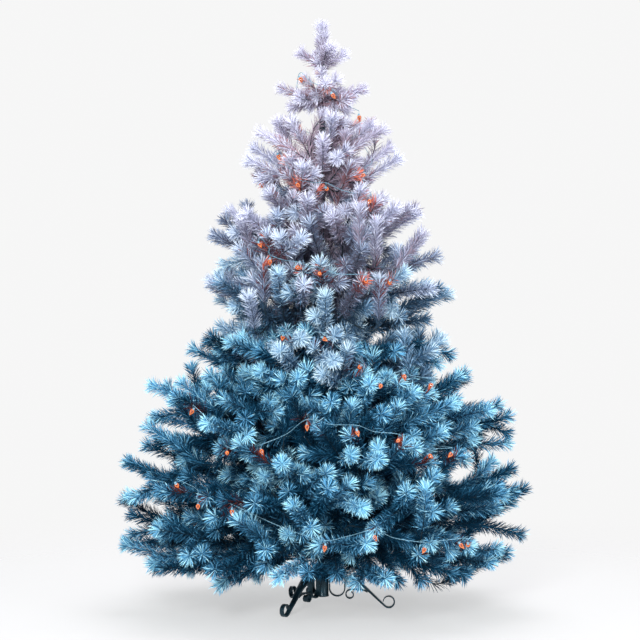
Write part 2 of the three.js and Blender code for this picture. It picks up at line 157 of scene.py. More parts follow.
def whorl(name, count, turn, collar, rise, bough, sprays, near, tilt):
    """One whorl. sprays is what its mass is sketched with; near and tilt are for its fine sprays."""
    return {"name": name, "count": count, "turn": turn, "collar": collar, "rise": rise,
            "bough": bough, "sprays": sprays, "near": near, "tilt": tilt}


WHORLS = [  # name, count, turn, collar, rise, bough, sprays, near, tilt
    whorl("whorl_1", 5, 0, 182, 1, 215, 8, 58, 4),
    whorl("whorl_2", 5, 36, 338, 8, 205, 7, 60, 30),
    whorl("whorl_3", 5, 0, 545, 15, 185, 7, 60, 34),
    whorl("whorl_4", 5, 36, 745, 20, 0, 5, 58, 32),
    whorl("whorl_5", 5, 0, 945, 25, 0, 5, 56, 20),
    whorl("whorl_6", 4, 45, 1190, 27, 0, 4, 55, 14),
    whorl("whorl_7", 4, 0, 1490, 30, 0, 4, 50, 8),
]


def crown_radius(z):
    """Radius of the furthest needles at a height."""
    return np.interp(z, CROWN[:, 0], CROWN[:, 1])


def pole_radius(z):
    """Radius of the pole at a height."""
    return next(radius for top, radius in POLE if z <= top)


def shelf_height(k, r, bearing):
    """Height of the shelf under whorl k at a distance and bearing from the pole."""
    height, rise = SHELVES[k]
    lobed = WHORLS[max(k - 1, 0)]
    share = -SKIRT if k == 0 else SWELL
    swell = share * np.cos(lobed["count"] * (bearing - lobed["turn"] * DEG))
    return height + r * (math.tan(rise * DEG) + swell)


def is_free(points, size, wedge):
    """True where points keep this far from both shelves and both sides of their wedge.

    A negative size lets them cross into the next mass by so much, but never under the lowest shelf.
    """
    r = np.hypot(points[:, 0], points[:, 1])
    off = np.arctan2(points[:, 1], points[:, 0])
    side = r * np.sin(wedge["half"] * DEG - np.abs(off))
    level, bearing = wedge["level"], off + wedge["turn"]
    below = points[:, 2] - shelf_height(level, r, bearing)
    if level == 0 and size < 0:
        lobes = 1 - np.cos(WHORLS[0]["count"] * bearing)
        below += size - SKIRT_LIFT["least"] - SKIRT_LIFT["between"] * lobes
    above = shelf_height(level + 1, r, bearing) - points[:, 2]
    steep = math.cos(SHELVES[level + 1][1] * DEG)
    return (side >= size) & (below * steep >= size) & (above * steep >= size)


# %% [markdown]
# ## How a limb runs
# Each limb leaves its collar level and then curves up to its own rise, like a real bough under
# its weight. A cubic curve with evenly spaced knots does this, and because its knots are even,
# a distance from the pole is also a place on the curve.

# %% Limbs
LIMB_DIP = 0.6  # share of its rise that a limb's third knot has
SPRAY_LENGTH = {"least": 105, "by_radius": 0.22, "most": 0.62, "play": 60}
GUESS = {"limb": 300, "spray": 400, "rounds": 6}  # first guesses of a reach, and rounds to mend one


def spray_length(r, throw):
    """Length of a spray whose tip stands this far from the pole."""
    s = SPRAY_LENGTH
    return min(s["least"] + s["by_radius"] * r + s["play"] * throw, s["most"] * r)


def cubic(knots, t):
    """Point and direction of a cubic curve, for one place or a row of places on it."""
    t = np.atleast_1d(np.asarray(t, float))[:, None]
    a, b, c, d = knots
    point = (1 - t) ** 3 * a + 3 * (1 - t) ** 2 * t * b + 3 * (1 - t) * t**2 * c + t**3 * d
    along = (1 - t) ** 2 * (b - a) + 2 * (1 - t) * t * (c - b) + t**2 * (d - c)
    return point, unit(along)


def limb_line(w):
    """The line of a whorl's limb about +X, and the distances where it starts and ends."""
    start = pole_radius(w["collar"]) + COLLAR["proud"] + FIT
    slope = math.tan(w["rise"] * DEG)
    reach = GUESS["limb"]
    for _ in range(GUESS["rounds"]):
        reach = crown_radius(w["collar"] + slope * (reach - start))
    end = reach - spray_length(reach, 0.5)
    climb = slope * (end - start)
    rises = (0, 0, LIMB_DIP * climb, climb)
    knots = np.array([[mix(start, end, i / 3), 0, w["collar"] + up] for i, up in enumerate(rises)])
    return {"knots": knots, "from": start, "to": end, "reach": reach}


def share_at(limb, r):
    """Place on the limb's curve that lies this far from the pole."""
    return (r - limb["from"]) / (limb["to"] - limb["from"])


for w in WHORLS:
    limb = limb_line(w)
    print(w["name"], "limb:", {key: round(limb[key]) for key in ("from", "to", "reach")})

# %% [markdown]
# ## Where the tips stand
# Random places clump, and a grid looks planted. Steps of two odd fractions lie between the two:
# they fill the rim of the wedge evenly without ever lining up, and the dice shift each a little.
# A place is kept only if its twig and its needles stay inside the mass's own space and it isn't
# too near an earlier spray. The main sprays are the frame's own and make the outline. The same
# rule then goes on with fine sprays, which are shorter, stand further in, point more ways and
# cross a little into the next mass, as the boughs of a real tree do.

# %% Places for the sprays
SPACING, EDGE, TRIES = 84, 24, 400  # gap between main sprays, margin of a shelf, and places tried
# inward and length are shares, fan is in radians, spread and play in degrees, room in millimetres
PASSES = {
    "main": {"inward": (0, 0.07), "length": 1, "fan": 0.3, "tilt": 0, "spread": 46, "play": 18,
             "room": {"spray": 20, "twig": 12}},
    "fine": {"inward": (0.08, 0.48), "length": 0.86, "fan": 1.1, "tilt": 1, "spread": 46, "play": 100,
             "room": {"spray": -56, "twig": -12}},
}
FINE_TRIES = 1500
PROBES = {"spray": np.array([0, 0.3, 0.6, 1]), "twig": np.array([0.5, 0.8]), "near": 6}
PLACES = {"steps": (0.7548776662, 0.569840291), "margin": 4}  # and degrees kept free at the sides
FAN = 1.55  # how much wider the sprays fan out than their places do
LIFT = {"follow": 0.9, "level": 0.45}  # share of the limb's rise, and the height that points level
FORK = {"back": 30, "by_side": 0.9, "from_foot": 12, "from_tip": 10}  # where a twig leaves its limb
KNEE = 0.5  # how far behind the spray a twig's knee lies, as a share of the twig


def nearest(a0, a1, sprays):
    """The nearest that a straight stretch comes to any of these sprays."""
    if not sprays:
        return math.inf
    b0 = np.array([s["start"] for s in sprays])
    run = np.array([s["end"] for s in sprays]) - b0
    tries = np.linspace(0, 1, PROBES["near"] + 1)[:, None, None]
    p = a0 + (a1 - a0) * tries
    t = np.clip(((p - b0) * run).sum(-1) / (run * run).sum(-1), 0, 1)
    return np.linalg.norm(p - (b0 + run * t[..., None]), axis=-1).min()


def spray_place(w, wedge, n, odd, roll, way):
    """The n-th place in a wedge: where its spray starts and ends, and the way it points."""
    u, v = ((o + n * step) % 1 for o, step in zip(odd, PLACES["steps"]))
    off = (2 * u - 1) * (wedge["half"] - PLACES["margin"]) * DEG
    r = GUESS["spray"]
    for _ in range(GUESS["rounds"]):
        low = shelf_height(wedge["level"], r, off + wedge["turn"]) + EDGE
        high = shelf_height(wedge["level"] + 1, r, off + wedge["turn"]) - EDGE
        z = mix(low, high, v)
        r = crown_radius(z)
    r *= 1 - mix(*way["inward"], roll())
    length = spray_length(r, roll()) * way["length"]
    fan = off * FAN + (roll() - 0.5) * way["fan"]
    by_height = (v - LIFT["level"]) * way["spread"] + way["tilt"] * w["tilt"]
    lift = (w["rise"] * LIFT["follow"] + by_height + (roll() - 0.5) * way["play"]) * DEG
    end, along = polar(r, off, z), polar(math.cos(lift), fan, math.sin(lift))
    return {"end": end, "start": end - along * length, "along": along}


def twig_to(place, limb, foot):
    """The three knots of the twig that leads from the limb to a spray."""
    near = math.hypot(*place["start"][:2])
    wanted = near - FORK["by_side"] * abs(place["start"][1]) - FORK["back"]
    root_at = min(max(wanted, foot + FORK["from_foot"]), limb["to"] - FORK["from_tip"])
    root = cubic(limb["knots"], share_at(limb, root_at))[0][0]
    slack = KNEE * np.linalg.norm(place["start"] - root)
    return np.array([root, place["start"] - place["along"] * slack, place["start"]])


def quadratic(knots, t):
    """Points of a quadratic curve at a row of places on it."""
    t = np.asarray(t, float)[:, None]
    a, b, c = knots
    return (1 - t) ** 2 * a + 2 * (1 - t) * t * b + t**2 * c


def fits(place, twig, wedge, room):
    """True if a spray and its twig keep to their mass's space."""
    on_spray = mix(place["start"], place["end"], PROBES["spray"][:, None])
    on_twig = quadratic(twig, PROBES["twig"])
    twig_free = is_free(on_twig, room["twig"], wedge).all()
    return twig_free and is_free(on_spray, room["spray"], wedge).all()


# %% [markdown]
# ## Tips at the edge
# The outline of such a tree is ragged: single brushes stand out on the sky. Where the photograph
# shows the end of one, a ray from the camera gives its place beside the pole, and it is grown
# on the mass that holds this place. The third number is the way it points in the picture. Along
# the lower edge of the front a few heavy tips hang down, and they are placed in the same way.

# %% Tips at the edge
EDGE_TIPS = [  # left side, right side, then four that fill in
    (252, 128, 150), (240, 157, 155), (260, 192, 178), (217, 212, 135), (205, 231, 155),
    (214, 268, 195), (205, 280, 150), (198, 340, 165), (190, 358, 100), (143, 382, 157),
    (140, 421, 148), (148, 444, 182), (119, 459, 162), (116, 495, 150), (116, 543, 180),
    (146, 569, 190),
    (392, 125, 30), (405, 154, 33), (424, 208, 35), (445, 253, 20), (448, 284, 30),
    (459, 357, -15), (472, 374, 28), (518, 414, 15), (517, 437, -20), (520, 465, 22),
    (532, 482, 38), (529, 536, -12), (511, 552, 27), (436, 318, 8),
    (245, 196, 100), (418, 323, 95), (122, 512, 165), (500, 455, 40),
]
HANGING_TIPS = [
    (219, 589), (262, 573), (338, 582), (377, 582), (402, 588), (427, 588), (473, 583), (448, 574),
]
HANGING = {"radius": 570, "pitch": -34}  # their distance from the pole, and how steeply they hang
EDGE_PLAY = {"depth": 150, "turn": 0.7}  # how far towards the camera, and how much they may point off
EDGE_SEED = SEED + 50


def carried_by(end, along, carried):
    """Adds a brush with this end to the list of the whorl and bough that hold the place."""
    r, bearing = math.hypot(end[0], end[1]), math.atan2(end[1], end[0])
    level = max(k for k in range(len(WHORLS)) if end[2] > shelf_height(k, r, bearing) or k == 0)
    w = WHORLS[level]
    index = round((bearing / DEG - w["turn"]) * w["count"] / 360) % w["count"]
    spray = {"start": end - along * spray_length(r, 0.5), "end": end, "along": along}
    carried.setdefault((level, index), []).append(spray)


def edge_sprays():
    """The brushes at the sides' and the lower edge, by the whorl and the bough that carry them."""
    roll = dice(EDGE_SEED)
    carried = {}
    for x, y, angle in EDGE_TIPS:
        way = ray(x, y)
        depth = -roll() * EDGE_PLAY["depth"] * MM
        aside = (roll() - 0.5) * EDGE_PLAY["turn"]
        along = unit(np.array([math.cos(angle * DEG), aside, math.sin(angle * DEG)]))
        carried_by(np.array(EYE + way * ((depth - EYE.y) / way.y)) / MM, along, carried)
    for x, y in HANGING_TIPS:
        way = ray(x, y)
        flat = way.x**2 + way.y**2
        toward = (EYE.x * way.x + EYE.y * way.y) / flat
        beyond = (EYE.x**2 + EYE.y**2 - (HANGING["radius"] * MM) ** 2) / flat
        end = np.array(EYE + way * (-toward - math.sqrt(toward**2 - beyond))) / MM
        out = unit(end[:2])
        pitch = HANGING["pitch"] * DEG
        carried_by(end, np.array([*(out * math.cos(pitch)), math.sin(pitch)]), carried)
    return carried


EDGE_SPRAYS = edge_sprays()
print("brushes at the edge:", len(EDGE_TIPS) + len(HANGING_TIPS))

# %% [markdown]
# ## Gaps of sky
# Between those brushes the sky shows, in notches at the rim and in a few windows further in.
# Each is given as a circle of the picture. A fine spray that would lie across one is left out,
# whether it stands before the pole or behind it, so the gap stays open right through the tree.
# A main spray is the frame's own and stays: it is only turned up or down a little about its foot.

# %% Gaps of sky
GAPS = np.array([  # the middle and the radius of each, from the top down
    (304, 39, 5), (303, 71, 6), (347, 67, 6), (276, 120, 5), (308, 123, 5), (258, 149, 8),
    (385, 148, 8), (382, 175, 5), (257, 202, 6), (392, 233, 5), (222, 251, 6), (335, 254, 3),
    (434, 274, 8), (409, 295, 4), (379, 334, 5), (482, 393, 8), (156, 405, 6), (182, 427, 5),
    (491, 445, 8), (168, 468, 4), (465, 473, 6), (127, 480, 8), (148, 506, 4), (127, 523, 6),
    (517, 518, 7), (486, 534, 7),
])
CLEAR = {"by": 7, "places": np.linspace(0.1, 1, 6)}  # a needle's reach in pixels, where a spray is tried
PITCHES = (0, 6, -6, 11, -11, 16, -16)  # degrees by which a main spray is turned, in this order


def turned(along, yaw, pitch):
    """A direction turned aside by yaw, and up by pitch, both in degrees."""
    side = unit(np.cross([0.0, 0.0, 1.0], along))
    up = np.cross(along, side)
    level = along * math.cos(yaw * DEG) + side * math.sin(yaw * DEG)
    return level * math.cos(pitch * DEG) + up * math.sin(pitch * DEG)


def turn_about_pole(points, turn):
    """Points turned about the pole by an angle."""
    c, s = math.cos(turn), math.sin(turn)
    return points @ np.array([[c, s, 0], [-s, c, 0], [0, 0, 1]])


def hides_sky(place, turn):
    """True if a spray would lie across a gap once it is turned to its bearing."""
    along = mix(place["start"], place["end"], CLEAR["places"][:, None])
    x, y = pixels(turn_about_pole(along, turn))
    off = np.hypot(x[:, None] - GAPS[:, 0], y[:, None] - GAPS[:, 1])
    return bool((off < GAPS[:, 2] + CLEAR["by"]).any())


def beside_sky(spray, turn):
    """A main spray, turned up or down about its foot as far as it takes to leave the gaps open."""
    run = np.linalg.norm(spray["end"] - spray["start"])
    for pitch in PITCHES:
        along = turned(spray["along"], 0, pitch)
        tried = {**spray, "along": along, "end": spray["start"] + along * run}
        if not hides_sky(tried, turn):
            return tried
    return spray


# %% [markdown]
# ## Side shoots
# On such a tree the end of a bough isn't one tip but a hand of three to five: a leading tip and
# shorter ones that fork off it to both sides. Each spray so gets up to two side shoots, and each
# limb gets short shoots along its inner length, which fill the dark inside of the crown.

# %% Shoots
SHOOT = {"fork": (0.02, 0.36), "yaw": (34, 62), "pitch": 70, "length": (0.5, 0.85), "spacing": 29}
SHOOT_FREE = {"from": 0.45, "within": 0.94}  # where it must stand clear, and its share of the crown
INNER = {"from": 30, "step": 56, "length": (90, 165), "spacing": 42, "hanging": -40, "out": 230}
INNER_PLAY = (24, 20)  # degrees by which the dice turn their yaw and their pitch
INNER_WAYS = [  # yaw and pitch, in degrees, of the shoots round one place of a limb
    (-60, 30), (60, -30), (8, 74), (-8, -74), (-52, -42), (52, 42), (-25, 55), (25, -55),
]
SHORTER = (1, 0.72, 0.5)  # a shoot that doesn't fit is tried again at these shares of its length


def try_shoot(base, along, wanted, spacing, wedge, sprays):
    """A side shoot from a point, or None where it would leave the space or crowd a spray."""
    for length in (wanted * share for share in SHORTER):
        end = base + along * length
        clear = base + along * (SHOOT_FREE["from"] * length)
        on_shoot = np.array([mix(base, end, 0.5), end])
        inside = is_free(on_shoot, PASSES["fine"]["room"]["spray"], wedge).all()
        if inside and math.hypot(*end[:2]) < SHOOT_FREE["within"] * crown_radius(end[2]):
            shoot = {"start": base, "end": end, "along": along}
            if nearest(clear, end, sprays) >= spacing and not hides_sky(shoot, wedge["turn"]):
                return shoot
    return None


def side_shoots(parents, wedge, sprays, roll):
    """Up to two shoots forking off each parent spray."""
    grown = []
    for parent in parents:
        length = np.linalg.norm(parent["end"] - parent["start"])
        for side in (-1, 1):
            base = parent["start"] + parent["along"] * length * mix(*SHOOT["fork"], roll())
            yaw, pitch = side * mix(*SHOOT["yaw"], roll()), (roll() - 0.5) * SHOOT["pitch"]
            along = turned(parent["along"], yaw, pitch)
            wanted = length * mix(*SHOOT["length"], roll())
            shoot = try_shoot(base, along, wanted, SHOOT["spacing"], wedge, sprays + grown)
            if shoot:
                grown.append({**shoot, "kind": "shoot"})
    return grown


def inner_shoots(limb, wedge, sprays, roll):
    """Short shoots along a limb, up, down and to both sides, which fill the inside."""
    grown = []
    r = INNER["from"]
    while r < limb["to"]:
        base, along = (v[0] for v in cubic(limb["knots"], share_at(limb, r)))
        for yaw, pitch in INNER_WAYS:
            if wedge["level"] == 0 and pitch < INNER["hanging"] and r > INNER["out"]:
                continue  # nothing hangs out from under the skirt
            aside, up = ((roll() - 0.5) * play for play in INNER_PLAY)
            way = turned(along, yaw + aside, pitch + up)
            wanted = mix(*INNER["length"], roll())
            shoot = try_shoot(base, way, wanted, INNER["spacing"], wedge, sprays + grown)
            if shoot:
                grown.append({**shoot, "kind": "inner"})
        r += INNER["step"]
    return grown


# %% [markdown]
# ## Growing a mass
# One mass is grown lying about +X, as the frame's is, and turned to its bearing afterwards.
# It holds its sprays and the twigs that carry them. The draws come in the frame's order, so the
# first sprays fall on those of the solids, but for the few that are turned to leave a gap open.
# The finer ones follow with later draws.

# %% Grow one mass
STEM_POINTS = 12


def grow_mass(w, level, index):
    """The sprays and twigs of one mass, in millimetres, at their bearing."""
    roll = dice(SEED + 100 * level + index)
    turn = (w["turn"] + 360 / w["count"] * index) * DEG
    wedge = {"level": level, "half": 180 / w["count"], "turn": turn}
    limb = limb_line(w)
    foot = w["bough"] + FIT if w["bough"] else limb["from"]
    start, along = (v[0] for v in cubic(limb["knots"], 1))
    end = start + along * (limb["reach"] - limb["to"]) / along[0]
    sprays = [{"start": start, "end": end, "along": along, "kind": "main"}]
    twigs = []
    odd = [roll(), roll()]
    n = 0
    for kind, spacing, tries, count in (
        ("main", SPACING, TRIES, w["sprays"]), ("fine", w["near"], FINE_TRIES, FINE_TRIES)
    ):
        if kind == "fine":
            sprays = [beside_sky(s, turn) for s in sprays]
            for tip in EDGE_SPRAYS.get((level, index), []):
                place = {key: turn_about_pole(tip[key], -turn) for key in tip}
                sprays.append({**place, "kind": "edge"})
                twigs.append(twig_to(place, limb, foot))
        while n < tries and len(sprays) < count:
            n += 1
            place = spray_place(w, wedge, n, odd, roll, PASSES[kind])
            twig = twig_to(place, limb, foot)
            if not fits(place, twig, wedge, PASSES[kind]["room"]):
                continue
            if nearest(place["start"], place["end"], sprays) < spacing:
                continue
            if kind == "main" or not hides_sky(place, turn):
                sprays.append({**place, "kind": kind})
                twigs.append(twig)
    sprays += side_shoots(list(sprays), wedge, sprays, roll)
    sprays += inner_shoots(limb, wedge, sprays, roll)
    for s in sprays:
        s["start"], s["end"], s["along"] = (turn_about_pole(s[k], turn) for k in ("start", "end", "along"))
    stem = cubic(limb["knots"], np.linspace(share_at(limb, foot), 1, STEM_POINTS))[0]
    return {"name": f"{w['name']}_foliage_{index + 1}", "sprays": sprays,
            "twigs": [turn_about_pole(t, turn) for t in twigs],
            "stem": turn_about_pole(stem, turn), "level": level}


MASSES = [grow_mass(w, level, i) for level, w in enumerate(WHORLS) for i in range(w["count"])]
kinds = [s["kind"] for mass in MASSES for s in mass["sprays"]]
print("sprays:", {k: kinds.count(k) for k in ("main", "edge", "fine", "shoot", "inner")})

# %% [markdown]
# ## The top of the tree
# Above the pole stands one upright wire with small whorls of short tips and the leader. They are
# few, so their places are a short table, the same as the frame's. Fine tips go round the wire
# between them by the golden angle: the lowest hang over the pole's end and the highest rise.

# %% Grow the top
HEIGHT = 2100
TOP_WHORLS = [  # count, turn, height on the wire, the tips' distance and height, their length
    (4, 4, 1800, 178, 1853, 122), (4, 49, 1798, 150, 1800, 105),
    (3, 80, 1822, 92, 1892, 70), (4, 12, 1912, 104, 1988, 88),
]
STEM_TOP = 1940  # where the upright wire ends in the leader
GOLDEN = 137.508 * DEG
FINE_TOPS = [  # count and turn, height, pitch and length from the first to the last, bare wire
    (24, 0, (1796, 1930), (-58, 50), (100, 66), 12), (9, 0.6, (1804, 1826), (-16, 10), (146, 138), 30),
    (5, 0.3, (1914, 1926), (28, 42), (136, 126), 16), (4, 1.2, (1932, 1944), (85, 87), (74, 153), 6),
]


def grow_top():
    """The leader and the small whorls on the upright stem above the pole."""
    up = np.array([0.0, 0.0, 1.0])
    foot, leader = up * (POLE[-1][0] + FIT), up * STEM_TOP
    sprays = [{"start": leader, "end": up * HEIGHT, "along": up, "kind": "main"}]
    twigs = []
    for count, turn, height, reach, tip, length in TOP_WHORLS:
        for i in range(count):
            end, root = polar(reach, (turn + 360 / count * i) * DEG, tip), up * height
            along = unit(end - root)
            start = end - along * length
            sprays.append({"start": start, "end": end, "along": along, "kind": "main"})
            twigs.append(np.array([root, mix(root, start, 0.5), start]))
    for count, turn, *ends, bare in FINE_TOPS:
        for i in range(count):
            height, pitch, length = (mix(*pair, i / (count - 1)) for pair in ends)
            along = polar(math.cos(pitch * DEG), turn + GOLDEN * i, math.sin(pitch * DEG))
            root = up * height
            spray = {"start": root + along * bare, "end": root + along * length, "along": along}
            if not hides_sky(spray, 0):
                sprays.append({**spray, "kind": "fine"})
    return {"name": "top_foliage", "sprays": sprays, "twigs": twigs,
            "stem": np.array([foot, leader]), "level": len(WHORLS)}


MASSES.append(grow_top())
print("sprays in all:", sum(len(mass["sprays"]) for mass in MASSES))

# %% [markdown]
# ## The string of lamps
# One string climbs the tree in a spiral: across the front from left to right, round the back,
# and across the front again one row higher. Where the photograph shows a lamp, a ray from the
# camera finds the brush that carries it, and the lamp sits on the near side of that brush. The
# photograph doesn't show the back, so there the string goes on by rule, from brush to brush.

# %% Places of the lamps
ROWS = [  # lamps of each front row from left to right, lowest row first, in the picture's pixels
    [(176, 484), (198, 505), (232, 510), (325, 546), (374, 536), (425, 548), (460, 544), (468, 544)],
    [(193, 410), (227, 452), (261, 450), (307, 425), (357, 431), (399, 440), (429, 455), (452, 453)],
    [(283, 336), (323, 338), (361, 366), (381, 385), (404, 375), (432, 384)],
    [(259, 243), (270, 260), (296, 267), (319, 273), (366, 280), (390, 281)],
    [(278, 155), (297, 184), (326, 188), (370, 200), (364, 174)],
    [(300, 78), (332, 94), (359, 116)],
]
BACK_STEP = 230  # millimetres of string between lamps round the back
SEEN = {"near": 38, "proud": 30}  # how far from a brush's wire a ray and a lamp may pass
SEEN_AT = np.linspace(0.1, 0.82, 10)  # places on a brush where it may carry a lamp
BACK = {"reach": 0.82, "share": 0.6, "proud": 18, "from": 0.45}  # where a lamp of the back hangs
TIPS = [s for mass in MASSES for s in mass["sprays"] if s["kind"] != "inner"]
TIP_START = np.array([s["start"] for s in TIPS]) * MM
TIP_END = np.array([s["end"] for s in TIPS]) * MM


def seen_lamp(x, y):
    """A lamp's place on the ray through a pixel: on the near side of the first brush it meets."""
    eye, way = np.array(EYE), np.array(ray(x, y))
    on = TIP_START + (TIP_END - TIP_START) * SEEN_AT[:, None, None] - eye
    depth = on @ way
    miss = np.linalg.norm(on - depth[..., None] * way, axis=-1)
    met = miss < SEEN["near"] * MM
    at = np.where(met, depth, np.inf).argmin() if met.any() else miss.argmin()
    proud = math.sqrt(max((SEEN["proud"] * MM) ** 2 - miss.flat[at] ** 2, 0))
    return EYE + Vector(way) * (float(depth.flat[at]) - proud)


def back_lamps(start, end):
    """Lamps round the back, from the right end of one row to the left end of the next."""
    a0 = math.atan2(start.y, start.x)
    a1 = math.atan2(end.y, end.x)
    a1 += 2 * math.pi * math.ceil((a0 - a1) / (2 * math.pi))
    radius = float(crown_radius((start.z + end.z) / 2 / MM)) * MM
    count = max(1, round((a1 - a0) * radius / (BACK_STEP * MM)) - 1)
    outer = mix(TIP_START, TIP_END, BACK["share"])
    lamps = []
    for i in range(1, count + 1):
        angle, z = mix(a0, a1, i / (count + 1)), mix(start.z, end.z, i / (count + 1))
        if math.sin(angle) < BACK["from"]:
            continue
        wanted = polar(float(crown_radius(z / MM)) * MM * BACK["reach"], angle, z)
        best = outer[np.linalg.norm(outer - wanted, axis=1).argmin()]
        away = unit(np.array([best[0], best[1], 0.0]))
        lamps.append(Vector(best + away * BACK["proud"] * MM))
    return lamps


lamps = []
for row in ROWS:
    front = [seen_lamp(x, y) for x, y in row]
    if lamps:
        lamps += back_lamps(lamps[-1], front[0])
    lamps += front
LAMP_SPOTS = np.array(lamps) / MM
print("lamps:", len(lamps))

# %% [markdown]
# ## Colour by place
# The frosting is the tree's main feature. It is almost white with a breath of lilac at the top,
# ice blue at the middle and teal at the foot, and it lies on the outer ends only: the bodies of
# the brushes are darker and the inside is nearly navy. Towards the top every tone is also made
# lighter and more lilac, the dark ones most: that is painted light on the upper crown. Each
# needle is so made of two parts, its root and its tip, and each part takes one of six tones of
# its height: four that run from frost to shade, and two warm ones that paint the light of a
# nearby lamp on the needles. All are plain colours with no pattern, dealt out by spray, so they
# stay right on a mesh of many thousand needles.

# %% Tints
TONES = ("frost", "pale", "body", "shade", "painted_lamp_light", "painted_dim_lamp_light")
HIP, WAIST, SHOULDER, NECK = 830, 1030, 1400, 1680  # heights at which the colour is given
HEIGHT_STOPS = (HIP, WAIST, SHOULDER, NECK, HEIGHT)
# Towards the top all tones are made lighter and more lilac, the dark ones most: painted light on the upper
# crown. The two warm rows are the lamps' painted light.
TINTS = {  # at those heights, from the lowest up
    "frost": [(0.47, 0.86, 1.0), (0.68, 0.88, 0.98), (0.78, 0.82, 0.96), (0.83, 0.84, 0.96),
              (0.72, 0.73, 0.86)],
    "pale": [(0.142, 0.42, 0.66), (0.29, 0.475, 0.665), (0.44, 0.47, 0.62), (0.55, 0.535, 0.68),
             (0.68, 0.67, 0.81)],
    "body": [(0.026, 0.13, 0.237), (0.095, 0.222, 0.36), (0.235, 0.255, 0.365), (0.43, 0.39, 0.50),
             (0.53, 0.50, 0.62)],
    "shade": [(0.002, 0.034, 0.072), (0.029, 0.074, 0.128), (0.20, 0.18, 0.24), (0.48, 0.36, 0.44),
              (0.35, 0.32, 0.41)],
    "painted_lamp_light": [(0.42, 0.075, 0.04), (0.55, 0.11, 0.06), (0.80, 0.21, 0.13), (0.84, 0.28, 0.21),
             (0.85, 0.42, 0.38)],
    "painted_dim_lamp_light": [(0.075, 0.016, 0.014), (0.095, 0.023, 0.025), (0.24, 0.085, 0.095), (0.40, 0.20, 0.21),
              (0.42, 0.24, 0.27)],
}
BANDS = 9
BAND_PLAY = 0.5  # how far, in bands, the dice may carry a spray's colour up or down


def tint(tone, height):
    """The colour of a tone at a height."""
    return [float(np.interp(height, HEIGHT_STOPS, [c[i] for c in TINTS[tone]])) for i in range(3)]


# %% [markdown]
# ## Needles
# A needle is a flat strip of film that runs to a point. It is made 45 mm long and 2.35 mm wide,
# which is larger than life, because there would be far too many at their real width. It leans
# forward off the wire with its broad side along the brush. A brush that points at the viewer so
# shows all its needles broadside as a bright star, and one seen from the side is fine and dark.
# At its end stands a rosette, whose needles cover a cap of directions. Three triangles make a
# needle, two for its root and one for its tip, and the golden angle spreads them round the wire.
# Arrays hold them all: five points for each needle, worked out for a whole spray at once.

# %% Needle sizes
LENGTH = [(1450, 45), (1850, 39)]  # needles are shorter on the small tips at the top of the tree
NEEDLE = {"width": 2.35, "split": 0.72, "foot": 0.7, "droop": 0.04}
PLAY = {"width": (0.85, 1.15), "length": (0.86, 1.05), "place": 0.3, "roll": 38}
LEAN = {"body": 44, "play": 8, "cap": 61}
PER_MM = {"main": 1.8, "edge": 1.8, "fine": 1.7, "shoot": 1.55, "inner": 0.9}
LEAST = 16  # fewest needles on a brush, without its rosette
ROSETTE = {"count": 44, "deep": 16, "outward": 0.45}
TWIG = {"per_mm": 0.7, "least": 6, "ahead": 2, "body": 0.3}  # the sparse needles along a bare twig
WIRE_RADIUS = 1.5
WIRE_END = {"needle": 0.9, "wire": 0.6}  # a wire stops this share of either short of its brush's end
BOW = 0.035  # how far a spray's wire bows, as a share of its length
CORE_POINTS = 5
STEEP = 0.9  # a direction nearer to upright than this takes its sides from another axis
rng = np.random.default_rng(SEED)


def at_height(stops, height):
    """A value at a height, from stops of height and value."""
    return float(np.interp(height, *zip(*stops)))


def frames_along(along):
    """Two directions square to each direction."""
    up = np.where(np.abs(along[..., 2:]) > STEEP, [1.0, 0.0, 0.0], [0.0, 0.0, 1.0])
    across = unit(np.cross(up, along))
    return across, np.cross(along, across)


def strips(roots, ways, lengths, around):
    """Five corner points for each needle."""
    count = len(roots)
    widths = NEEDLE["width"] * rng.uniform(*PLAY["width"], count)
    turns = rng.normal(0, PLAY["roll"], count)[:, None] * DEG
    across = around * np.cos(turns) + unit(np.cross(ways, around)) * np.sin(turns)
    half = across * (widths / 2)[:, None]
    bend = np.cross(ways, across) * (lengths * NEEDLE["droop"])[:, None]
    middle = roots + ways * (lengths * NEEDLE["split"])[:, None] + bend
    tip = roots + ways * lengths[:, None]
    foot = half * NEEDLE["foot"]
    return np.stack([roots - foot, roots + foot, middle + half, middle - half, tip], axis=1)


def brush(points, along, lean, length):
    """Needles about a stretch of wire, one to each point of it, leaning so many degrees off it."""
    count = len(points)
    across, over = frames_along(along)
    phi = GOLDEN * np.arange(count) + rng.uniform(-PLAY["place"], PLAY["place"], count)
    out = across * np.cos(phi)[:, None] + over * np.sin(phi)[:, None]
    lean = np.asarray(lean)[:, None] * DEG
    ways = along * np.cos(lean) + out * np.sin(lean)
    lengths = length * rng.uniform(*PLAY["length"], count)
    return strips(points + out * WIRE_RADIUS, ways, lengths, np.cross(along, out))


# %% [markdown]
# ## Which tone a needle takes
# Frost settles on what stands out: on the ends of the brushes, on their rosettes and towards the
# top of the tree, and less inside, where the darker tones are partly painted shade. Every brush
# so gets its own share of frost with a throw of the dice, and every needle a level that its place
# on the brush raises or lowers. Three steps turn that level into a tone. Brushes at the side edge
# get less frost, a painted shade for brushes seen against the light. Near a lamp the needles take
# warm tones that paint its light, and the nearest a brighter one.

# %% Tones of the needles
FROST = [(200, 0.45), (450, 0.50), (600, 0.61), (760, 0.50), (950, 0.58), (1500, 0.76),
         (1880, 0.74), (2050, 0.48)]
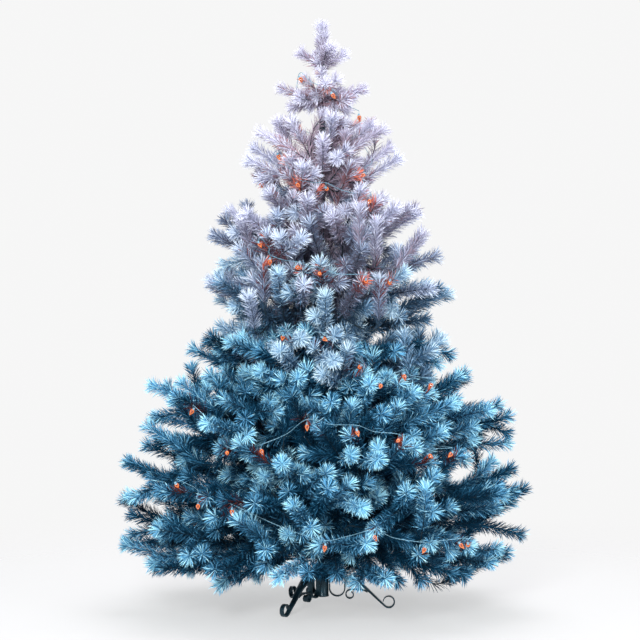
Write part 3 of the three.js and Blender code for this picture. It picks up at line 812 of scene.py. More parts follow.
# Frost taken off by kind: for the inner shoots it is partly painted shade of the inside, and at the side
# edge it is painted shade for brushes seen against the light.
LESS_FROST_AND_PAINTED_SHADE = {"inner": [(0, 0.42)], "edge": [(1000, 0.45), (1500, 0)], "shoot": [(0, 0.06)]}
FROST_PLAY = 0.3
LEVEL = {"least": 0.55, "bare": 1.5, "outward": 0.5, "star": 0.55, "play": 0.3}
STEPS = (0.5, 1.05, 1.75)  # levels where frost turns pale, pale turns to body and body to shade
BODY, SHADE, PAINTED_LAMP_LIGHT, PAINTED_DIM_LAMP_LIGHT = range(2, len(TONES))
ALIKE = {"side": 0.25, "star": 0.8}  # how often a root has its tip's tone
# The lamps' warm light is painted on nearby needles: within this reach they take a warm tone, and in the
# nearest share of it the brighter one, frosted needles too.
PAINTED_LAMP_LIGHT_REACH = [(0, 44), (1000, 54), (1200, 96), (1500, 104), (2100, 86)]  # of a lamp's warm light
BRIGHT_PAINTED_LIGHT_SHARE = 0.36  # share of that reach in which needles glow, the frosted ones too
SURE = 1.15  # how sure a needle right beside a lamp is to be tinted by it


def band_of(height):
    """The band of colour that a spray at this height takes, with a throw of the dice."""
    place = height / HEIGHT * BANDS - 0.5 + rng.uniform(-BAND_PLAY, BAND_PLAY)
    return int(np.clip(round(place), 0, BANDS - 1))


def frost_of(kind, height):
    """How heavily a spray is frosted, from 0 to 1: more towards the top, less inside and at the side edge,
    where the loss is partly painted shade.
    """
    heavy = at_height(FROST, height) - at_height(LESS_FROST_AND_PAINTED_SHADE.get(kind, [(0, 0)]), height)
    return float(np.clip(rng.normal(heavy, FROST_PLAY), 0.0, 1.0))


def tones_of(share, frost, star):
    """The tone of each needle's root and tip, by its place on the spray and the spray's frost."""
    level = LEVEL["least"] + LEVEL["bare"] * (1 - frost) - LEVEL["outward"] * share**2
    level = level - LEVEL["star"] * star + rng.normal(0, LEVEL["play"], len(share))
    tips = np.select([level < step for step in STEPS], range(len(STEPS)), SHADE)
    same = rng.uniform(0, 1, len(share)) < np.where(star, ALIKE["star"], ALIKE["side"])
    roots = np.clip(tips + np.where(same, 0, 1), 0, SHADE)
    return roots, tips


def with_painted_lamp_light(tones, spots, height):
    """Tones near a lamp turned to the two tones that paint its warm light on the needles."""
    reach = at_height(PAINTED_LAMP_LIGHT_REACH, height)
    gap = np.linalg.norm(spots[:, None] - LAMP_SPOTS[None], axis=-1).min(axis=1)
    chance = rng.uniform(0, 1, len(spots))
    near, lit = chance < SURE - gap / reach / BRIGHT_PAINTED_LIGHT_SHARE, chance < SURE - gap / reach
    return [np.where(near, PAINTED_LAMP_LIGHT, np.where((t >= BODY) & lit, PAINTED_DIM_LAMP_LIGHT, t)) for t in tones]


# %% [markdown]
# ## The needles of a brush and of a twig
# A brush is a wire that bows a little, with needles along it and a rosette at its end. A bare
# twig has only sparse dark ones.

# %% Brushes
def bowed(start, end, bow, share):
    """Points of a wire that bows a little between two ends."""
    share = np.asarray(share)[:, None]
    return start + (end - start) * share + bow * (4 * share * (1 - share))


def as_grown(corners, tones, high, wire):
    """Needles with their tones and band of colour, and the line of the wire that holds them."""
    roots, tips = with_painted_lamp_light(tones, corners[:, 2], high)
    return {"corners": corners, "roots": roots, "tips": tips, "band": band_of(high), "wire": wire}


def spray_needles(spray):
    """The needles and the wire of one brush."""
    start, end, along = spray["start"], spray["end"], spray["along"]
    length = at_height(LENGTH, end[2])
    whole = np.linalg.norm(end - start)
    wire_end = end - along * min(length * WIRE_END["needle"], whole * WIRE_END["wire"])
    run = np.linalg.norm(wire_end - start)
    across, over = frames_along(along[None])
    angle = rng.uniform(0, 2 * math.pi)
    bow = (across[0] * math.cos(angle) + over[0] * math.sin(angle)) * run * BOW * rng.uniform(-1, 1)
    count, star = max(LEAST, int(run * PER_MM[spray["kind"]])), ROSETTE["count"]
    share = np.concatenate([(np.arange(count) + rng.uniform(0, 1, count)) / count,
                            1 - ROSETTE["deep"] / run * rng.uniform(0, 1, star)])
    cap = LEAN["cap"] * ((np.arange(star) + 0.5) / star) ** ROSETTE["outward"]
    lean = np.concatenate([rng.normal(LEAN["body"], LEAN["play"], count), cap])
    corners = brush(bowed(start, wire_end, bow, share), np.tile(along, (count + star, 1)), lean, length)
    tones = tones_of(share, frost_of(spray["kind"], end[2]), np.arange(count + star) >= count)
    return as_grown(corners, tones, end[2], bowed(start, wire_end, bow, np.linspace(0, 1, CORE_POINTS)))


def line_needles(line):
    """Sparse dark needles along a bare twig or stem, given as a line of points."""
    steps = np.linalg.norm(np.diff(line, axis=0), axis=1)
    run = np.concatenate([[0], np.cumsum(steps)])
    count = max(TWIG["least"], int(run[-1] * TWIG["per_mm"]))
    places = (np.arange(count) + rng.uniform(0, 1, count)) / count * run[-1]
    points = np.stack([np.interp(places, run, line[:, i]) for i in range(3)], axis=1)
    ahead = np.stack([np.interp(places + TWIG["ahead"], run, line[:, i]) for i in range(3)], axis=1)
    step = ahead - points
    at_end = np.abs(step).sum(1, keepdims=True) <= TWIG["ahead"] / 4
    along = unit(np.where(at_end, line[-1] - line[-2], step))
    lean = rng.normal(LEAN["body"], LEAN["play"], count)
    high = line[-1][2]
    corners = brush(points, along, lean, at_height(LENGTH, high))
    lighter = rng.uniform(0, 1, count) < TWIG["body"]
    tones = [np.full(count, SHADE), np.where(lighter, BODY, SHADE)]
    return as_grown(corners, tones, high, line)


# %% [markdown]
# ## Materials from Python expressions
# A small class wraps a shader socket, so that `0.5 + dust * 0.4` adds its own Math nodes. Every
# other node comes from one method, which takes the node's kind, its settings and its inputs.

# %% Shader helper
class Value:
    """A shader socket that Python's operators work on."""

    def __init__(self, paint, socket):
        self.paint = paint
        self.socket = socket

    def _math(self, operation, other):
        return self.paint.node("ShaderNodeMath", {"operation": operation}, {0: self, 1: other})

    def __add__(self, other):
        return self._math("ADD", other)

    __radd__ = __add__

    def __mul__(self, other):
        return self._math("MULTIPLY", other)

    __rmul__ = __mul__


class Paint:
    """One material and its node tree."""

    def __init__(self, name, color, roughness, metallic=0.0, coat=0.0):
        self.material = bpy.data.materials.new(name)
        self.material.use_nodes = True
        self.tree = self.material.node_tree
        self.shader = self.tree.nodes["Principled BSDF"]
        self.set("Base Color", (*color, 1.0))
        self.set("Roughness", roughness)
        self.set("Metallic", metallic)
        self.set("Coat Weight", coat)

    def set(self, socket, value):
        """Sets a socket of the shader to a number or colour, or links a value to it."""
        self._fill(self.shader.inputs[socket], value)

    def _fill(self, socket, value):
        if isinstance(value, Value):
            self.tree.links.new(value.socket, socket)
        else:
            socket.default_value = value

    def node(self, kind, settings=None, inputs=None, output=0):
        """Adds a node: its settings are set first, then its sockets, and one output is given."""
        node = self.tree.nodes.new(kind)
        for key, value in (settings or {}).items():
            setattr(node, key, value)
        for key, value in (inputs or {}).items():
            self._fill(node.inputs[key], value)
        return Value(self, node.outputs[output])

    def place(self):
        """Object coordinates, in metres."""
        return self.node("ShaderNodeTexCoord", output="Object")

    def noise(self, scale, detail, vector=None):
        """Soft noise from 0 to 1, so many lumps to the metre."""
        inputs = {"Vector": vector or self.place(), "Scale": scale, "Detail": detail}
        return self.node("ShaderNodeTexNoise", inputs=inputs)

    def ramp(self, value, stops):
        """A value turned into a colour by stops of place and colour."""
        made = self.node("ShaderNodeValToRGB", inputs={"Fac": value})
        elements = made.socket.node.color_ramp.elements
        elements.remove(elements[0])
        elements[0].position, elements[0].color = stops[0][0], (*stops[0][1], 1.0)
        for place, color in stops[1:]:
            elements.new(place).color = (*color, 1.0)
        return made

    def blend(self, factor, a, b):
        """A mix of two colours."""
        colors = {"Factor": factor, 6: a, 7: b}
        return self.node("ShaderNodeMix", {"data_type": "RGBA"}, colors, output=2)

    def bump(self, height, strength, distance):
        """Relief from a height, fed to the shader's normal."""
        inputs = {"Height": height, "Strength": strength, "Distance": distance}
        self.set("Normal", self.node("ShaderNodeBump", inputs=inputs))


# %% [markdown]
# ## The needles' materials
# Film needles are matt where they are frosted and a little glossier where the bare plastic
# shows. There is one plain material for each tone in each band of height.

# %% Needle materials
NEEDLE_FINISH = {"frost": 0.75, "pale": 0.65, "body": 0.55, "shade": 0.55, "painted_lamp_light": 0.6, "painted_dim_lamp_light": 0.55}
NEEDLE_SHINE = 0.12  # film under dull frost reflects far less than bare plastic


def needle_paint(band, tone):
    """The plain material of one tone in one band."""
    color = tint(tone, (band + 0.5) / BANDS * HEIGHT)
    paint = Paint(f"needles_{tone}_{band + 1}", color, NEEDLE_FINISH[tone])
    paint.set("Specular IOR Level", NEEDLE_SHINE)
    return paint.material


NEEDLE_PAINTS = [[needle_paint(band, tone) for tone in TONES] for band in range(BANDS)]
print("needle materials:", BANDS * len(TONES))

# %% [markdown]
# ## Making the needle meshes
# Each mass of the frame is replaced by one mesh of needles. Arrays of corners and of corner
# numbers go straight into the mesh, which takes a moment where a loop would take minutes.

# %% Needle meshes
ZONES = ["needles_low"] * 3 + ["needles_middle"] * 2 + ["needles_high"] + ["needles_top"] * 2
CORNERS = np.array([[0, 1, 2], [0, 2, 3], [3, 2, 4]])  # two triangles of the root, one of the tip
TWIG_POINTS = 6


def show(piece, slot, *nodes):
    """Puts a finished piece into the scene, on the tree's one body."""
    bpy.context.scene.collection.objects.link(piece)
    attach(piece, "root")
    if nodes:
        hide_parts(*nodes)
    return piece


def mesh_of_triangles(name, points, triangles, paints=None, materials=()):
    """A mesh straight from arrays of points in millimetres and of triangles."""
    mesh = bpy.data.meshes.new(name)
    mesh.vertices.add(len(points))
    mesh.vertices.foreach_set("co", (points * MM).astype(np.float32).ravel())
    mesh.loops.add(triangles.size)
    mesh.loops.foreach_set("vertex_index", triangles.astype(np.int32).ravel())
    mesh.polygons.add(len(triangles))
    mesh.polygons.foreach_set("loop_start", np.arange(0, triangles.size, 3, dtype=np.int32))
    for material in materials:
        mesh.materials.append(material)
    if paints is not None:
        mesh.polygons.foreach_set("material_index", paints.astype(np.int32))
    mesh.update(calc_edges=True)
    return bpy.data.objects.new(name, mesh)


def needle_mesh(name, grown):
    """One mesh of all the needles grown for a mass."""
    corners = np.concatenate([g["corners"] for g in grown])
    count, each = corners.shape[:2]
    triangles = (CORNERS[None] + each * np.arange(count)[:, None, None]).reshape(-1, 3)
    bands = np.concatenate([np.full(len(g["roots"]), g["band"]) for g in grown])
    roots = bands * len(TONES) + np.concatenate([g["roots"] for g in grown])
    tips = bands * len(TONES) + np.concatenate([g["tips"] for g in grown])
    codes = np.stack([roots, roots, tips], axis=1).ravel()
    used, paints = np.unique(codes, return_inverse=True)
    materials = [NEEDLE_PAINTS[code // len(TONES)][code % len(TONES)] for code in used]
    return mesh_of_triangles(name, corners.reshape(-1, 3), triangles, paints, materials)


total = 0
for mass in MASSES:
    mass["grown"] = [spray_needles(s) for s in mass["sprays"]]
    mass["grown"] += [line_needles(quadratic(t, np.linspace(0, 1, TWIG_POINTS))) for t in mass["twigs"]]
    on_stem = [line_needles(mass["stem"])]
    piece = needle_mesh(mass["name"].replace("foliage", "needles"), mass["grown"] + on_stem)
    show(piece, ZONES[mass["level"]], mass["name"])
    total += len(piece.data.polygons)
print("triangles of needles:", total)

# %% [markdown]
# ## Twigs
# Under the needles runs the wire that holds them: a stem for each mass, a twig to each spray and
# the spray's own core. They are thin tubes of five sides, and again arrays hold them, ring by
# ring, because there are nearly two thousand of them.

# %% Twig meshes
STEM_RADII = (4.2, 2.8)  # at the foot and at the end
TWIG_RADII = (3.0, 2.0)
CORE_RADII = (2.0, 1.0)
TUBE_SIDES = 5


def tube(line, radii):
    """Points and triangles of a closed tube along a line, thinning from one radius to another."""
    rings = len(line)
    along = unit(np.gradient(line, axis=0))
    across, over = frames_along(along)
    angles = 2 * math.pi * np.arange(TUBE_SIDES) / TUBE_SIDES
    radius = np.linspace(*radii, rings)[:, None, None]
    c, s = np.cos(angles)[None, :, None], np.sin(angles)[None, :, None]
    offsets = across[:, None] * c + over[:, None] * s
    points = np.concatenate([(line[:, None] + offsets * radius).reshape(-1, 3), line[:1], line[-1:]])
    j = np.arange(TUBE_SIDES)
    after = (j + 1) % TUBE_SIDES
    end = (rings - 1) * TUBE_SIDES
    first, last = (np.full(TUBE_SIDES, end + TUBE_SIDES + k) for k in (0, 1))
    faces = []
    for start in range(0, end, TUBE_SIDES):
        a, b = start + j, start + after
        faces += [(a, b, b + TUBE_SIDES), (a, b + TUBE_SIDES, a + TUBE_SIDES)]
    faces += [(after, j, first), (end + j, end + after, last)]
    return points, np.concatenate([np.stack(corners, 1) for corners in faces])


def tubes(name, lines, material):
    """One mesh of many tubes."""
    points, faces, start = [], [], 0
    for line, radii in lines:
        p, f = tube(line, radii)
        points.append(p)
        faces.append(f + start)
        start += len(p)
    return mesh_of_triangles(name, np.concatenate(points), np.concatenate(faces), materials=[material])


# %% [markdown]
# ## Finish of the wire
# The twigs are wire wound with dark blue-green tape and dulled by dust. The tape's fine relief
# is a noise so small that it only breaks up the gloss, and the dust pales it here and there.

# %% Wire material and twigs
def wire_paint():
    """Dark taped wire with a little dust."""
    paint = Paint("taped_wire", (0.012, 0.03, 0.04), roughness=0.7, metallic=0.2)
    dust = paint.noise(scale=140, detail=4)
    paint.set("Base Color", paint.ramp(dust, [(0.3, (0.008, 0.022, 0.031)), (0.75, (0.028, 0.052, 0.066))]))
    paint.set("Roughness", 0.5 + dust * 0.4)
    paint.bump(paint.noise(scale=900, detail=2), strength=0.4, distance=0.0006)
    return paint.material


WIRE_PAINT = wire_paint()
for mass in MASSES:
    lines = [(mass["stem"], STEM_RADII)]
    sprays = len(mass["sprays"])
    lines += [(g["wire"], CORE_RADII) for g in mass["grown"][:sprays]]
    lines += [(g["wire"], TWIG_RADII) for g in mass["grown"][sprays:]]
    show(tubes(mass["name"].replace("foliage", "twigs"), lines, WIRE_PAINT), "bough_wire", mass["name"])
print("twigs and cores:", sum(len(mass["grown"]) for mass in MASSES))

# %% [markdown]
# ## A sweep for bent bar and twisted wire
# Legs, scrolls and boughs are all one section carried along a line. The sweep starts from a
# circle that is shaped into the section, extrudes its edges once for each step of the line and
# sets each new ring square to it. A section can shrink and turn on the way, which draws a bar
# out thin at its end or gives a bundle of wires its twist.

# %% Sweep
def ring_places(section, middle, along, across, size, twist):
    """Where a section's points lie at one step of a sweep."""
    over = along.cross(across)
    spots = []
    for x, y in section:
        u = (x * math.cos(twist) - y * math.sin(twist)) * size[0]
        v = (x * math.sin(twist) + y * math.cos(twist)) * size[1]
        spots.append(middle + across * u + over * v)
    return spots


def sweep(bm, section, line, across, sizes, twists):
    """Carries a section along a line of points. across is the section's own x, for every step."""
    verts = bmesh.ops.create_circle(bm, segments=len(section), radius=1)["verts"]
    first = edges = list({e for v in verts for e in v.link_edges})
    for i, middle in enumerate(line):
        if i:
            grown = bmesh.ops.extrude_edge_only(bm, edges=edges)["geom"]
            verts = [v for v in grown if isinstance(v, bmesh.types.BMVert)]
            made = {e for e in grown if isinstance(e, bmesh.types.BMEdge)}
            edges = [e for e in made if e.verts[0] in verts and e.verts[1] in verts]
        along = (line[min(i + 1, len(line) - 1)] - line[max(i - 1, 0)]).normalized()
        side = (across - along * across.dot(along)).normalized()
        for v, spot in zip(verts, ring_places(section, middle, along, side, sizes[i], twists[i])):
            v.co = spot
    for loop in (first, edges):
        bmesh.ops.contextual_create(bm, geom=loop)


def rounded(width, thick, corner, arc=3):
    """The outline of a flat bar's section, with round corners."""
    points = []
    for turn, (x, y) in enumerate([(1, 1), (-1, 1), (-1, -1), (1, -1)]):
        for i in range(arc + 1):
            angle = (turn * 90 + i * 90 / arc) * DEG
            points.append((x * (width / 2 - corner) + corner * math.cos(angle),
                           y * (thick / 2 - corner) + corner * math.sin(angle)))
    return points


def finish_mesh(bm, name, material, smooth_angle=40):
    """Turns a bmesh in millimetres into an object in metres, with its faces pointing out."""
    bmesh.ops.remove_doubles(bm, verts=bm.verts, dist=0.001)
    bmesh.ops.recalc_face_normals(bm, faces=bm.faces)
    bmesh.ops.scale(bm, vec=(MM, MM, MM), verts=bm.verts)
    for face in bm.faces:
        face.smooth = True
    for edge in bm.edges:
        edge.smooth = edge.calc_face_angle(0) < smooth_angle * DEG
    mesh = bpy.data.meshes.new(name)
    bm.to_mesh(mesh)
    bm.free()
    mesh.materials.append(material)
    return bpy.data.objects.new(name, mesh)


# %% [markdown]
# ## The scroll stand
# Three legs of flat bar arch off a socket, run down to the floor and curl up in a scroll. Under
# each hang two thinner scrolls that stiffen it. The bar was bent hot: it keeps its thickness
# along the run and is drawn out thin where it curls. The lines are those of the solids, with
# many more steps in every bend, and a light hammering moves the surface by tenths of a
# millimetre.

# %% Lines of the stand
SOCKET = {"outer": 23.5, "bottom": 40, "top": 120}
LEG_TURNS = (-3, 117, 237)
BAR = {"width": 20, "brace": 4.5, "brace_end": 3.2, "corner": 1.1}
LEG_BAR = {"root": 8.5, "heel": 5.5, "end": 3}
FOOT = {"r": 236, "outer": 23, "inner": 19, "end": 180}
LEG_SLOPE, LEG_ROOT = 43, 113
ARCH = {"r": 70, "z": 117, "pull": 130, "end": 92, "steps": 18}
STRAIGHT = (0.75, 0.5, 0.25, 0)  # places on the straight between the arch and the foot
INNER_BRACE = {"radius": 27, "bottom": 42, "tops": (104, 102.3)}
OUTER_BRACE = {"leaves": 78, "runs": 96, "steps": 9}
RING = {"r": 99.5, "z": 47.4, "from": 17.2, "to": 9.6, "turn": (90, 430)}
FOOT_BEND = FOOT["outer"] - LEG_BAR["heel"] / 2
FACET = 20  # the solids' bends have a facet for so many degrees, and stand on the lowest
HEEL = (-90 - 1.5 * FACET, -60)  # degrees about the foot's scroll, past which its curl draws in
FOOT_MIDDLE = FOOT["outer"] * math.cos(FACET / 2 * DEG)
BEND_STEP = 6


def bend(r, z, start, end, r0, r1=None):
    """Points of a bend about a middle, in the plane of a leg."""
    r1 = r0 if r1 is None else r1
    steps = max(1, round(abs(end - start) / BEND_STEP))
    points = []
    for i in range(steps + 1):
        angle, radius = mix(start, end, i / steps) * DEG, mix(r0, r1, i / steps)
        points.append(Vector((r + radius * math.cos(angle), 0, z + radius * math.sin(angle))))
    return points


def leg_straight(up, under=0):
    """A point of the leg's straight: so far up from the foot, and so far under the bar."""
    slope = Vector((-math.cos(LEG_SLOPE * DEG), 0, math.sin(LEG_SLOPE * DEG)))
    down = Vector((-slope.z, 0, slope.x))
    return Vector((FOOT["r"], 0, FOOT_MIDDLE)) + down * FOOT_BEND + slope * up + down * under


def bezier(knots, steps):
    """Points of a Bezier curve of any degree, by repeated mixing."""
    points = []
    for i in range(steps + 1):
        row = list(knots)
        while len(row) > 1:
            row = [a.lerp(b, i / steps) for a, b in zip(row, row[1:])]
        points.append(row[0])
    return points


def leg_line():
    """Off the socket, over in an arch, down and round the foot's scroll, with its thickness."""
    heel = bend(FOOT["r"], FOOT_MIDDLE, *HEEL, FOOT_BEND)
    curl = bend(FOOT["r"], FOOT_MIDDLE, HEEL[1], FOOT["end"], FOOT_BEND, FOOT["inner"])[1:]
    off = Vector((SOCKET["outer"] + FIT, 0, LEG_ROOT))
    knots = [off, Vector((ARCH["r"], 0, ARCH["z"])), leg_straight(ARCH["pull"]), leg_straight(ARCH["end"])]
    arch = bezier(knots, ARCH["steps"])
    ups = [ARCH["end"] * share for share in STRAIGHT]
    thick = [LEG_BAR["root"]] * len(arch)
    thick += [mix(LEG_BAR["heel"], LEG_BAR["root"], up / ARCH["end"]) for up in ups]
    thick += [LEG_BAR["heel"]] * len(heel)
    thick += [mix(LEG_BAR["heel"], LEG_BAR["end"], (i + 1) / len(curl)) for i in range(len(curl))]
    return arch + [leg_straight(up) for up in ups] + heel + curl, thick


def inner_brace_line():
    """A U hung between the socket's wall and the leg's underside."""
    left = SOCKET["outer"] + FIT + BAR["brace"] / 2
    right = left + 2 * INNER_BRACE["radius"]
    middle = INNER_BRACE["bottom"] + INNER_BRACE["radius"]
    hang = bend((left + right) / 2, middle, 180, 360, INNER_BRACE["radius"])
    first, last = INNER_BRACE["tops"]
    line = [Vector((left, 0, first)), Vector((left, 0, (first + middle) / 2)), *hang,
            Vector((right, 0, (last + middle) / 2)), Vector((right, 0, last))]
    return line, [BAR["brace"]] * len(line)


def outer_brace_line():
    """It leaves the leg's underside, runs level and ends in a small ring, thinner in its last third."""
    curl = bend(RING["r"], RING["z"], *RING["turn"], RING["from"], RING["to"])
    leg_here = mix(LEG_BAR["heel"], LEG_BAR["root"], OUTER_BRACE["leaves"] / ARCH["end"])
    under = leg_here / 2 + FIT + BAR["brace"] / 2
    knots = [leg_straight(OUTER_BRACE[key], under) for key in ("leaves", "runs")] + [curl[0]]
    line = bezier(knots, OUTER_BRACE["steps"]) + curl[1:]
    drawn = [max(0, 3 * i / (len(line) - 1) - 2) for i in range(len(line))]
    return line, [mix(BAR["brace"], BAR["brace_end"], share) for share in drawn]


# %% [markdown]
# ## Finish of the stand
# The bars are enamelled a blue so deep that it reads as black, with a satin gloss. The hammer
# marks catch the light, and the enamel is worn to bare metal in small spots.

# %% Iron material
def iron_paint():
    """Wrought bar under dark blue enamel, hammered and a little worn."""
    paint = Paint("wrought_iron", (0.012, 0.038, 0.055), roughness=0.36, metallic=0.75, coat=0.25)
    hammer = paint.node("ShaderNodeTexVoronoi", {"feature": "SMOOTH_F1"},
                        {"Vector": paint.place(), "Scale": 95.0, "Smoothness": 0.6})
    cloud = paint.noise(scale=30, detail=4)
    worn = paint.ramp(paint.noise(scale=220, detail=5), [(0.62, (0, 0, 0)), (0.72, (1, 1, 1))])
    enamel = paint.ramp(cloud, [(0.3, (0.008, 0.026, 0.038)), (0.7, (0.022, 0.066, 0.094))])
    paint.set("Base Color", paint.blend(worn, enamel, (0.10, 0.17, 0.21, 1)))
    paint.set("Roughness", 0.28 + cloud * 0.26)
    paint.bump(hammer * 0.7 + cloud * 0.3, strength=0.5, distance=0.0016)
    return paint.material


IRON = iron_paint()

# %% Bars of the stand
ACROSS = Vector((0, 1, 0))
HAMMER = {"depth": 0.16, "lumps": 0.11}
END_WIDTH = 0.55  # width that a bar would have if it were drawn out to nothing, as a share


def hammered(bm):
    """Moves each point a little along its normal, as a hammer leaves it, but not under the floor.

    Waves of odd ratios lie across each other, so that no two marks are alike.
    """
    bm.normal_update()
    for v in bm.verts:
        x, y, z = v.co * HAMMER["lumps"]
        lump = math.sin(x + 1.7 * math.sin(1.3 * z)) * math.sin(1.1 * z + 0.9 * y + x)
        v.co += v.normal * HAMMER["depth"] * lump
        v.co.z = max(v.co.z, 0.0)


def flat_bar(name, shape, turn, node):
    """One bent bar of the stand, turned to its bearing about the pole. It narrows as it thins."""
    line, thick = shape
    bm = bmesh.new()
    full = max(thick)
    sizes = [(mix(END_WIDTH, 1, t / full), t / full) for t in thick]
    sweep(bm, rounded(BAR["width"], full, BAR["corner"]), line, ACROSS, sizes, [0] * len(line))
    hammered(bm)
    bmesh.ops.rotate(bm, cent=(0, 0, 0), matrix=Matrix.Rotation(turn * DEG, 3, "Z"), verts=bm.verts)
    show(finish_mesh(bm, name, IRON), "stand_iron", node)


for i, turn in enumerate(LEG_TURNS, start=1):
    flat_bar(f"scroll_leg_{i}", leg_line(), turn, f"stand_leg_{i}")
    flat_bar(f"scroll_hanger_{i}", inner_brace_line(), turn, f"stand_inner_brace_{i}")
    flat_bar(f"scroll_curl_{i}", outer_brace_line(), turn, f"stand_outer_brace_{i}")
print("bars of the stand:", 3 * len(LEG_TURNS))

# %% [markdown]
# ## Socket and pole
# Both are turned parts, so each is a profile spun about the pole's middle. The socket has a
# rolled lip at either end. The pole is three tubes that plug into each other: each is swaged
# thinner at its foot, and a collar with rounded edges sits on it for each whorl of boughs.

# %% Spun pieces
SPIN_STEPS = 48
COLLAR_EDGE = 1.6
CHAMFER = 1.2  # at the pole's foot
SWAGE = {"wide": 1.0, "from": 0.6, "to": 3.0}  # the shoulder where one tube enters the next
MOUTH = {"below": 2.0, "in": 0.8, "gap": 0.4}  # the rolled mouth at a tube's top
BORE_SIDES = 24  # the solids' bore has so many sides, and its corners lie further out than they do
LIP = {"edge": 0.8, "deep": 1.2, "high": 6, "run": 8, "bore": 1}  # the socket's rolled lips


def spun(name, profile, material, steps=SPIN_STEPS):
    """A closed ring or solid, spun from a profile of radius and height."""
    bm = bmesh.new()
    verts = [bm.verts.new((r, 0, z)) for r, z in profile]
    edges = [bm.edges.new(pair) for pair in zip(verts, verts[1:])]
    if profile[0][0] > 0:
        edges.append(bm.edges.new((verts[-1], verts[0])))
    bmesh.ops.spin(bm, geom=verts + edges, cent=(0, 0, 0), axis=(0, 0, 1), angle=2 * math.pi,
                   steps=steps, use_merge=True)
    bmesh.ops.remove_doubles(bm, verts=bm.verts, dist=0.001)
    return finish_mesh(bm, name, material, smooth_angle=35)


def rounded_step(z, r0, r1, size, steps=4):
    """A step of a profile from one radius to another, with a round outer edge."""
    sign = 1 if r1 > r0 else -1
    out = max(r0, r1)
    arc = []
    for i in range(steps + 1):
        angle = (i / steps if sign > 0 else 1 - i / steps) * math.pi / 2
        arc.append((out - size + size * math.sin(angle), z - sign * size * math.cos(angle) + sign * size))
    return [(r0, z), *arc] if sign > 0 else [*arc, (r1, z)]


def pole_profile():
    """The pole from its foot to its top, with its collars and swaged joints."""
    foot = POLE[0][1]
    points = [(0, POLE_BOTTOM), (foot - CHAMFER, POLE_BOTTOM), (foot, POLE_BOTTOM + CHAMFER)]
    z = POLE_BOTTOM
    for k, (top, radius) in enumerate(POLE):
        if k:
            points += [(radius + SWAGE["wide"], z + SWAGE["from"]), (radius, z + SWAGE["to"])]
        for w in WHORLS:
            if z < w["collar"] < top:
                wide = radius + COLLAR["proud"]
                low, high = w["collar"] - COLLAR["half"], w["collar"] + COLLAR["half"]
                points += rounded_step(low, radius, wide, COLLAR_EDGE)
                points += rounded_step(high, wide, radius, COLLAR_EDGE)
        points += [(radius, top - MOUTH["below"]), (radius - MOUTH["in"], top - MOUTH["gap"])]
        z = top
    return points + [(0, z - MOUTH["gap"])]


def socket_profile():
    """The socket's wall, with a rolled lip at either end. Its lower half is mirrored upwards."""
    bore = (POLE[0][1] + FIT) / math.cos(math.pi / BORE_SIDES)
    outer, bottom, top = SOCKET["outer"], SOCKET["bottom"], SOCKET["top"]
    lower = [(bore, LIP["bore"]), (bore + LIP["bore"], 0), (outer - LIP["edge"], 0), (outer, LIP["edge"]),
             (outer, LIP["high"]), (outer - LIP["deep"], LIP["run"])]
    return [(r, bottom + up) for r, up in lower] + [(r, top - up) for r, up in reversed(lower)]


def steel_paint():
    """Dark enamelled tube, drawn lengthwise, with a little dust and handling wear."""
    paint = Paint("pole_enamel", (0.02, 0.036, 0.05), roughness=0.35, metallic=0.8, coat=0.15)
    stretch = paint.node("ShaderNodeMapping", {}, {"Vector": paint.place(), "Scale": (1.0, 1.0, 0.06)})
    drawn = paint.noise(scale=420, detail=3, vector=stretch)
    cloud = paint.noise(scale=24, detail=4)
    paint.set("Base Color", paint.ramp(cloud, [(0.3, (0.012, 0.024, 0.034)), (0.72, (0.045, 0.07, 0.09))]))
    paint.set("Roughness", 0.26 + cloud * 0.2 + drawn * 0.1)
    paint.bump(drawn, strength=0.25, distance=0.0003)
    return paint.material


POLE_STEEL = steel_paint()
show(spun("pole_tube", pole_profile(), POLE_STEEL), "pole_steel", "pole")
show(spun("socket_sleeve", socket_profile(), IRON), "stand_iron", "stand_socket")
print("pole and socket spun in", SPIN_STEPS, "steps")

# %% [markdown]
# ## Boughs
# Each bough of the three lower whorls is a bundle of wires twisted round each other. Its section
# has three lobes, and it turns as it is swept out from the collar, so the twist stands out in
# relief. It thins towards the mass of foliage that it carries.

# %% Bough meshes
BOUGH = {"root": 5.5, "end": 4.5, "pitch": 34, "steps": 56, "lobe": 0.16}  # radii, twist and lobes


def lobed(points=15, lobes=3):
    """A round section of radius one with a few lobes."""
    section = []
    for i in range(points):
        angle = 2 * math.pi * i / points
        radius = 1 - BOUGH["lobe"] * (0.5 - 0.5 * math.cos(lobes * angle))
        section.append((radius * math.cos(angle), radius * math.sin(angle)))
    return section


def bough_mesh(w, index):
    """One bough from its collar to where its foliage begins."""
    limb = limb_line(w)
    places = np.linspace(0, share_at(limb, w["bough"]), BOUGH["steps"] + 1)
    line = [Vector(p) for p in cubic(limb["knots"], places)[0]]
    run = w["bough"] - limb["from"]
    sizes = [(mix(BOUGH["root"], BOUGH["end"], i / BOUGH["steps"]),) * 2 for i in range(len(line))]
    twists = [2 * math.pi * run / BOUGH["pitch"] * i / BOUGH["steps"] for i in range(len(line))]
    bm = bmesh.new()
    sweep(bm, lobed(), line, ACROSS, sizes, twists)
    turn = (w["turn"] + 360 / w["count"] * index) * DEG
    bmesh.ops.rotate(bm, cent=(0, 0, 0), matrix=Matrix.Rotation(turn, 3, "Z"), verts=bm.verts)
    name = f"{w['name']}_limb_{index + 1}"
    limb_piece = finish_mesh(bm, name, WIRE_PAINT, smooth_angle=60)
    return show(limb_piece, "bough_wire", f"{w['name']}_bough_{index + 1}")


boughs = [bough_mesh(w, i) for w in WHORLS if w["bough"] for i in range(w["count"])]
print("boughs:", len(boughs))

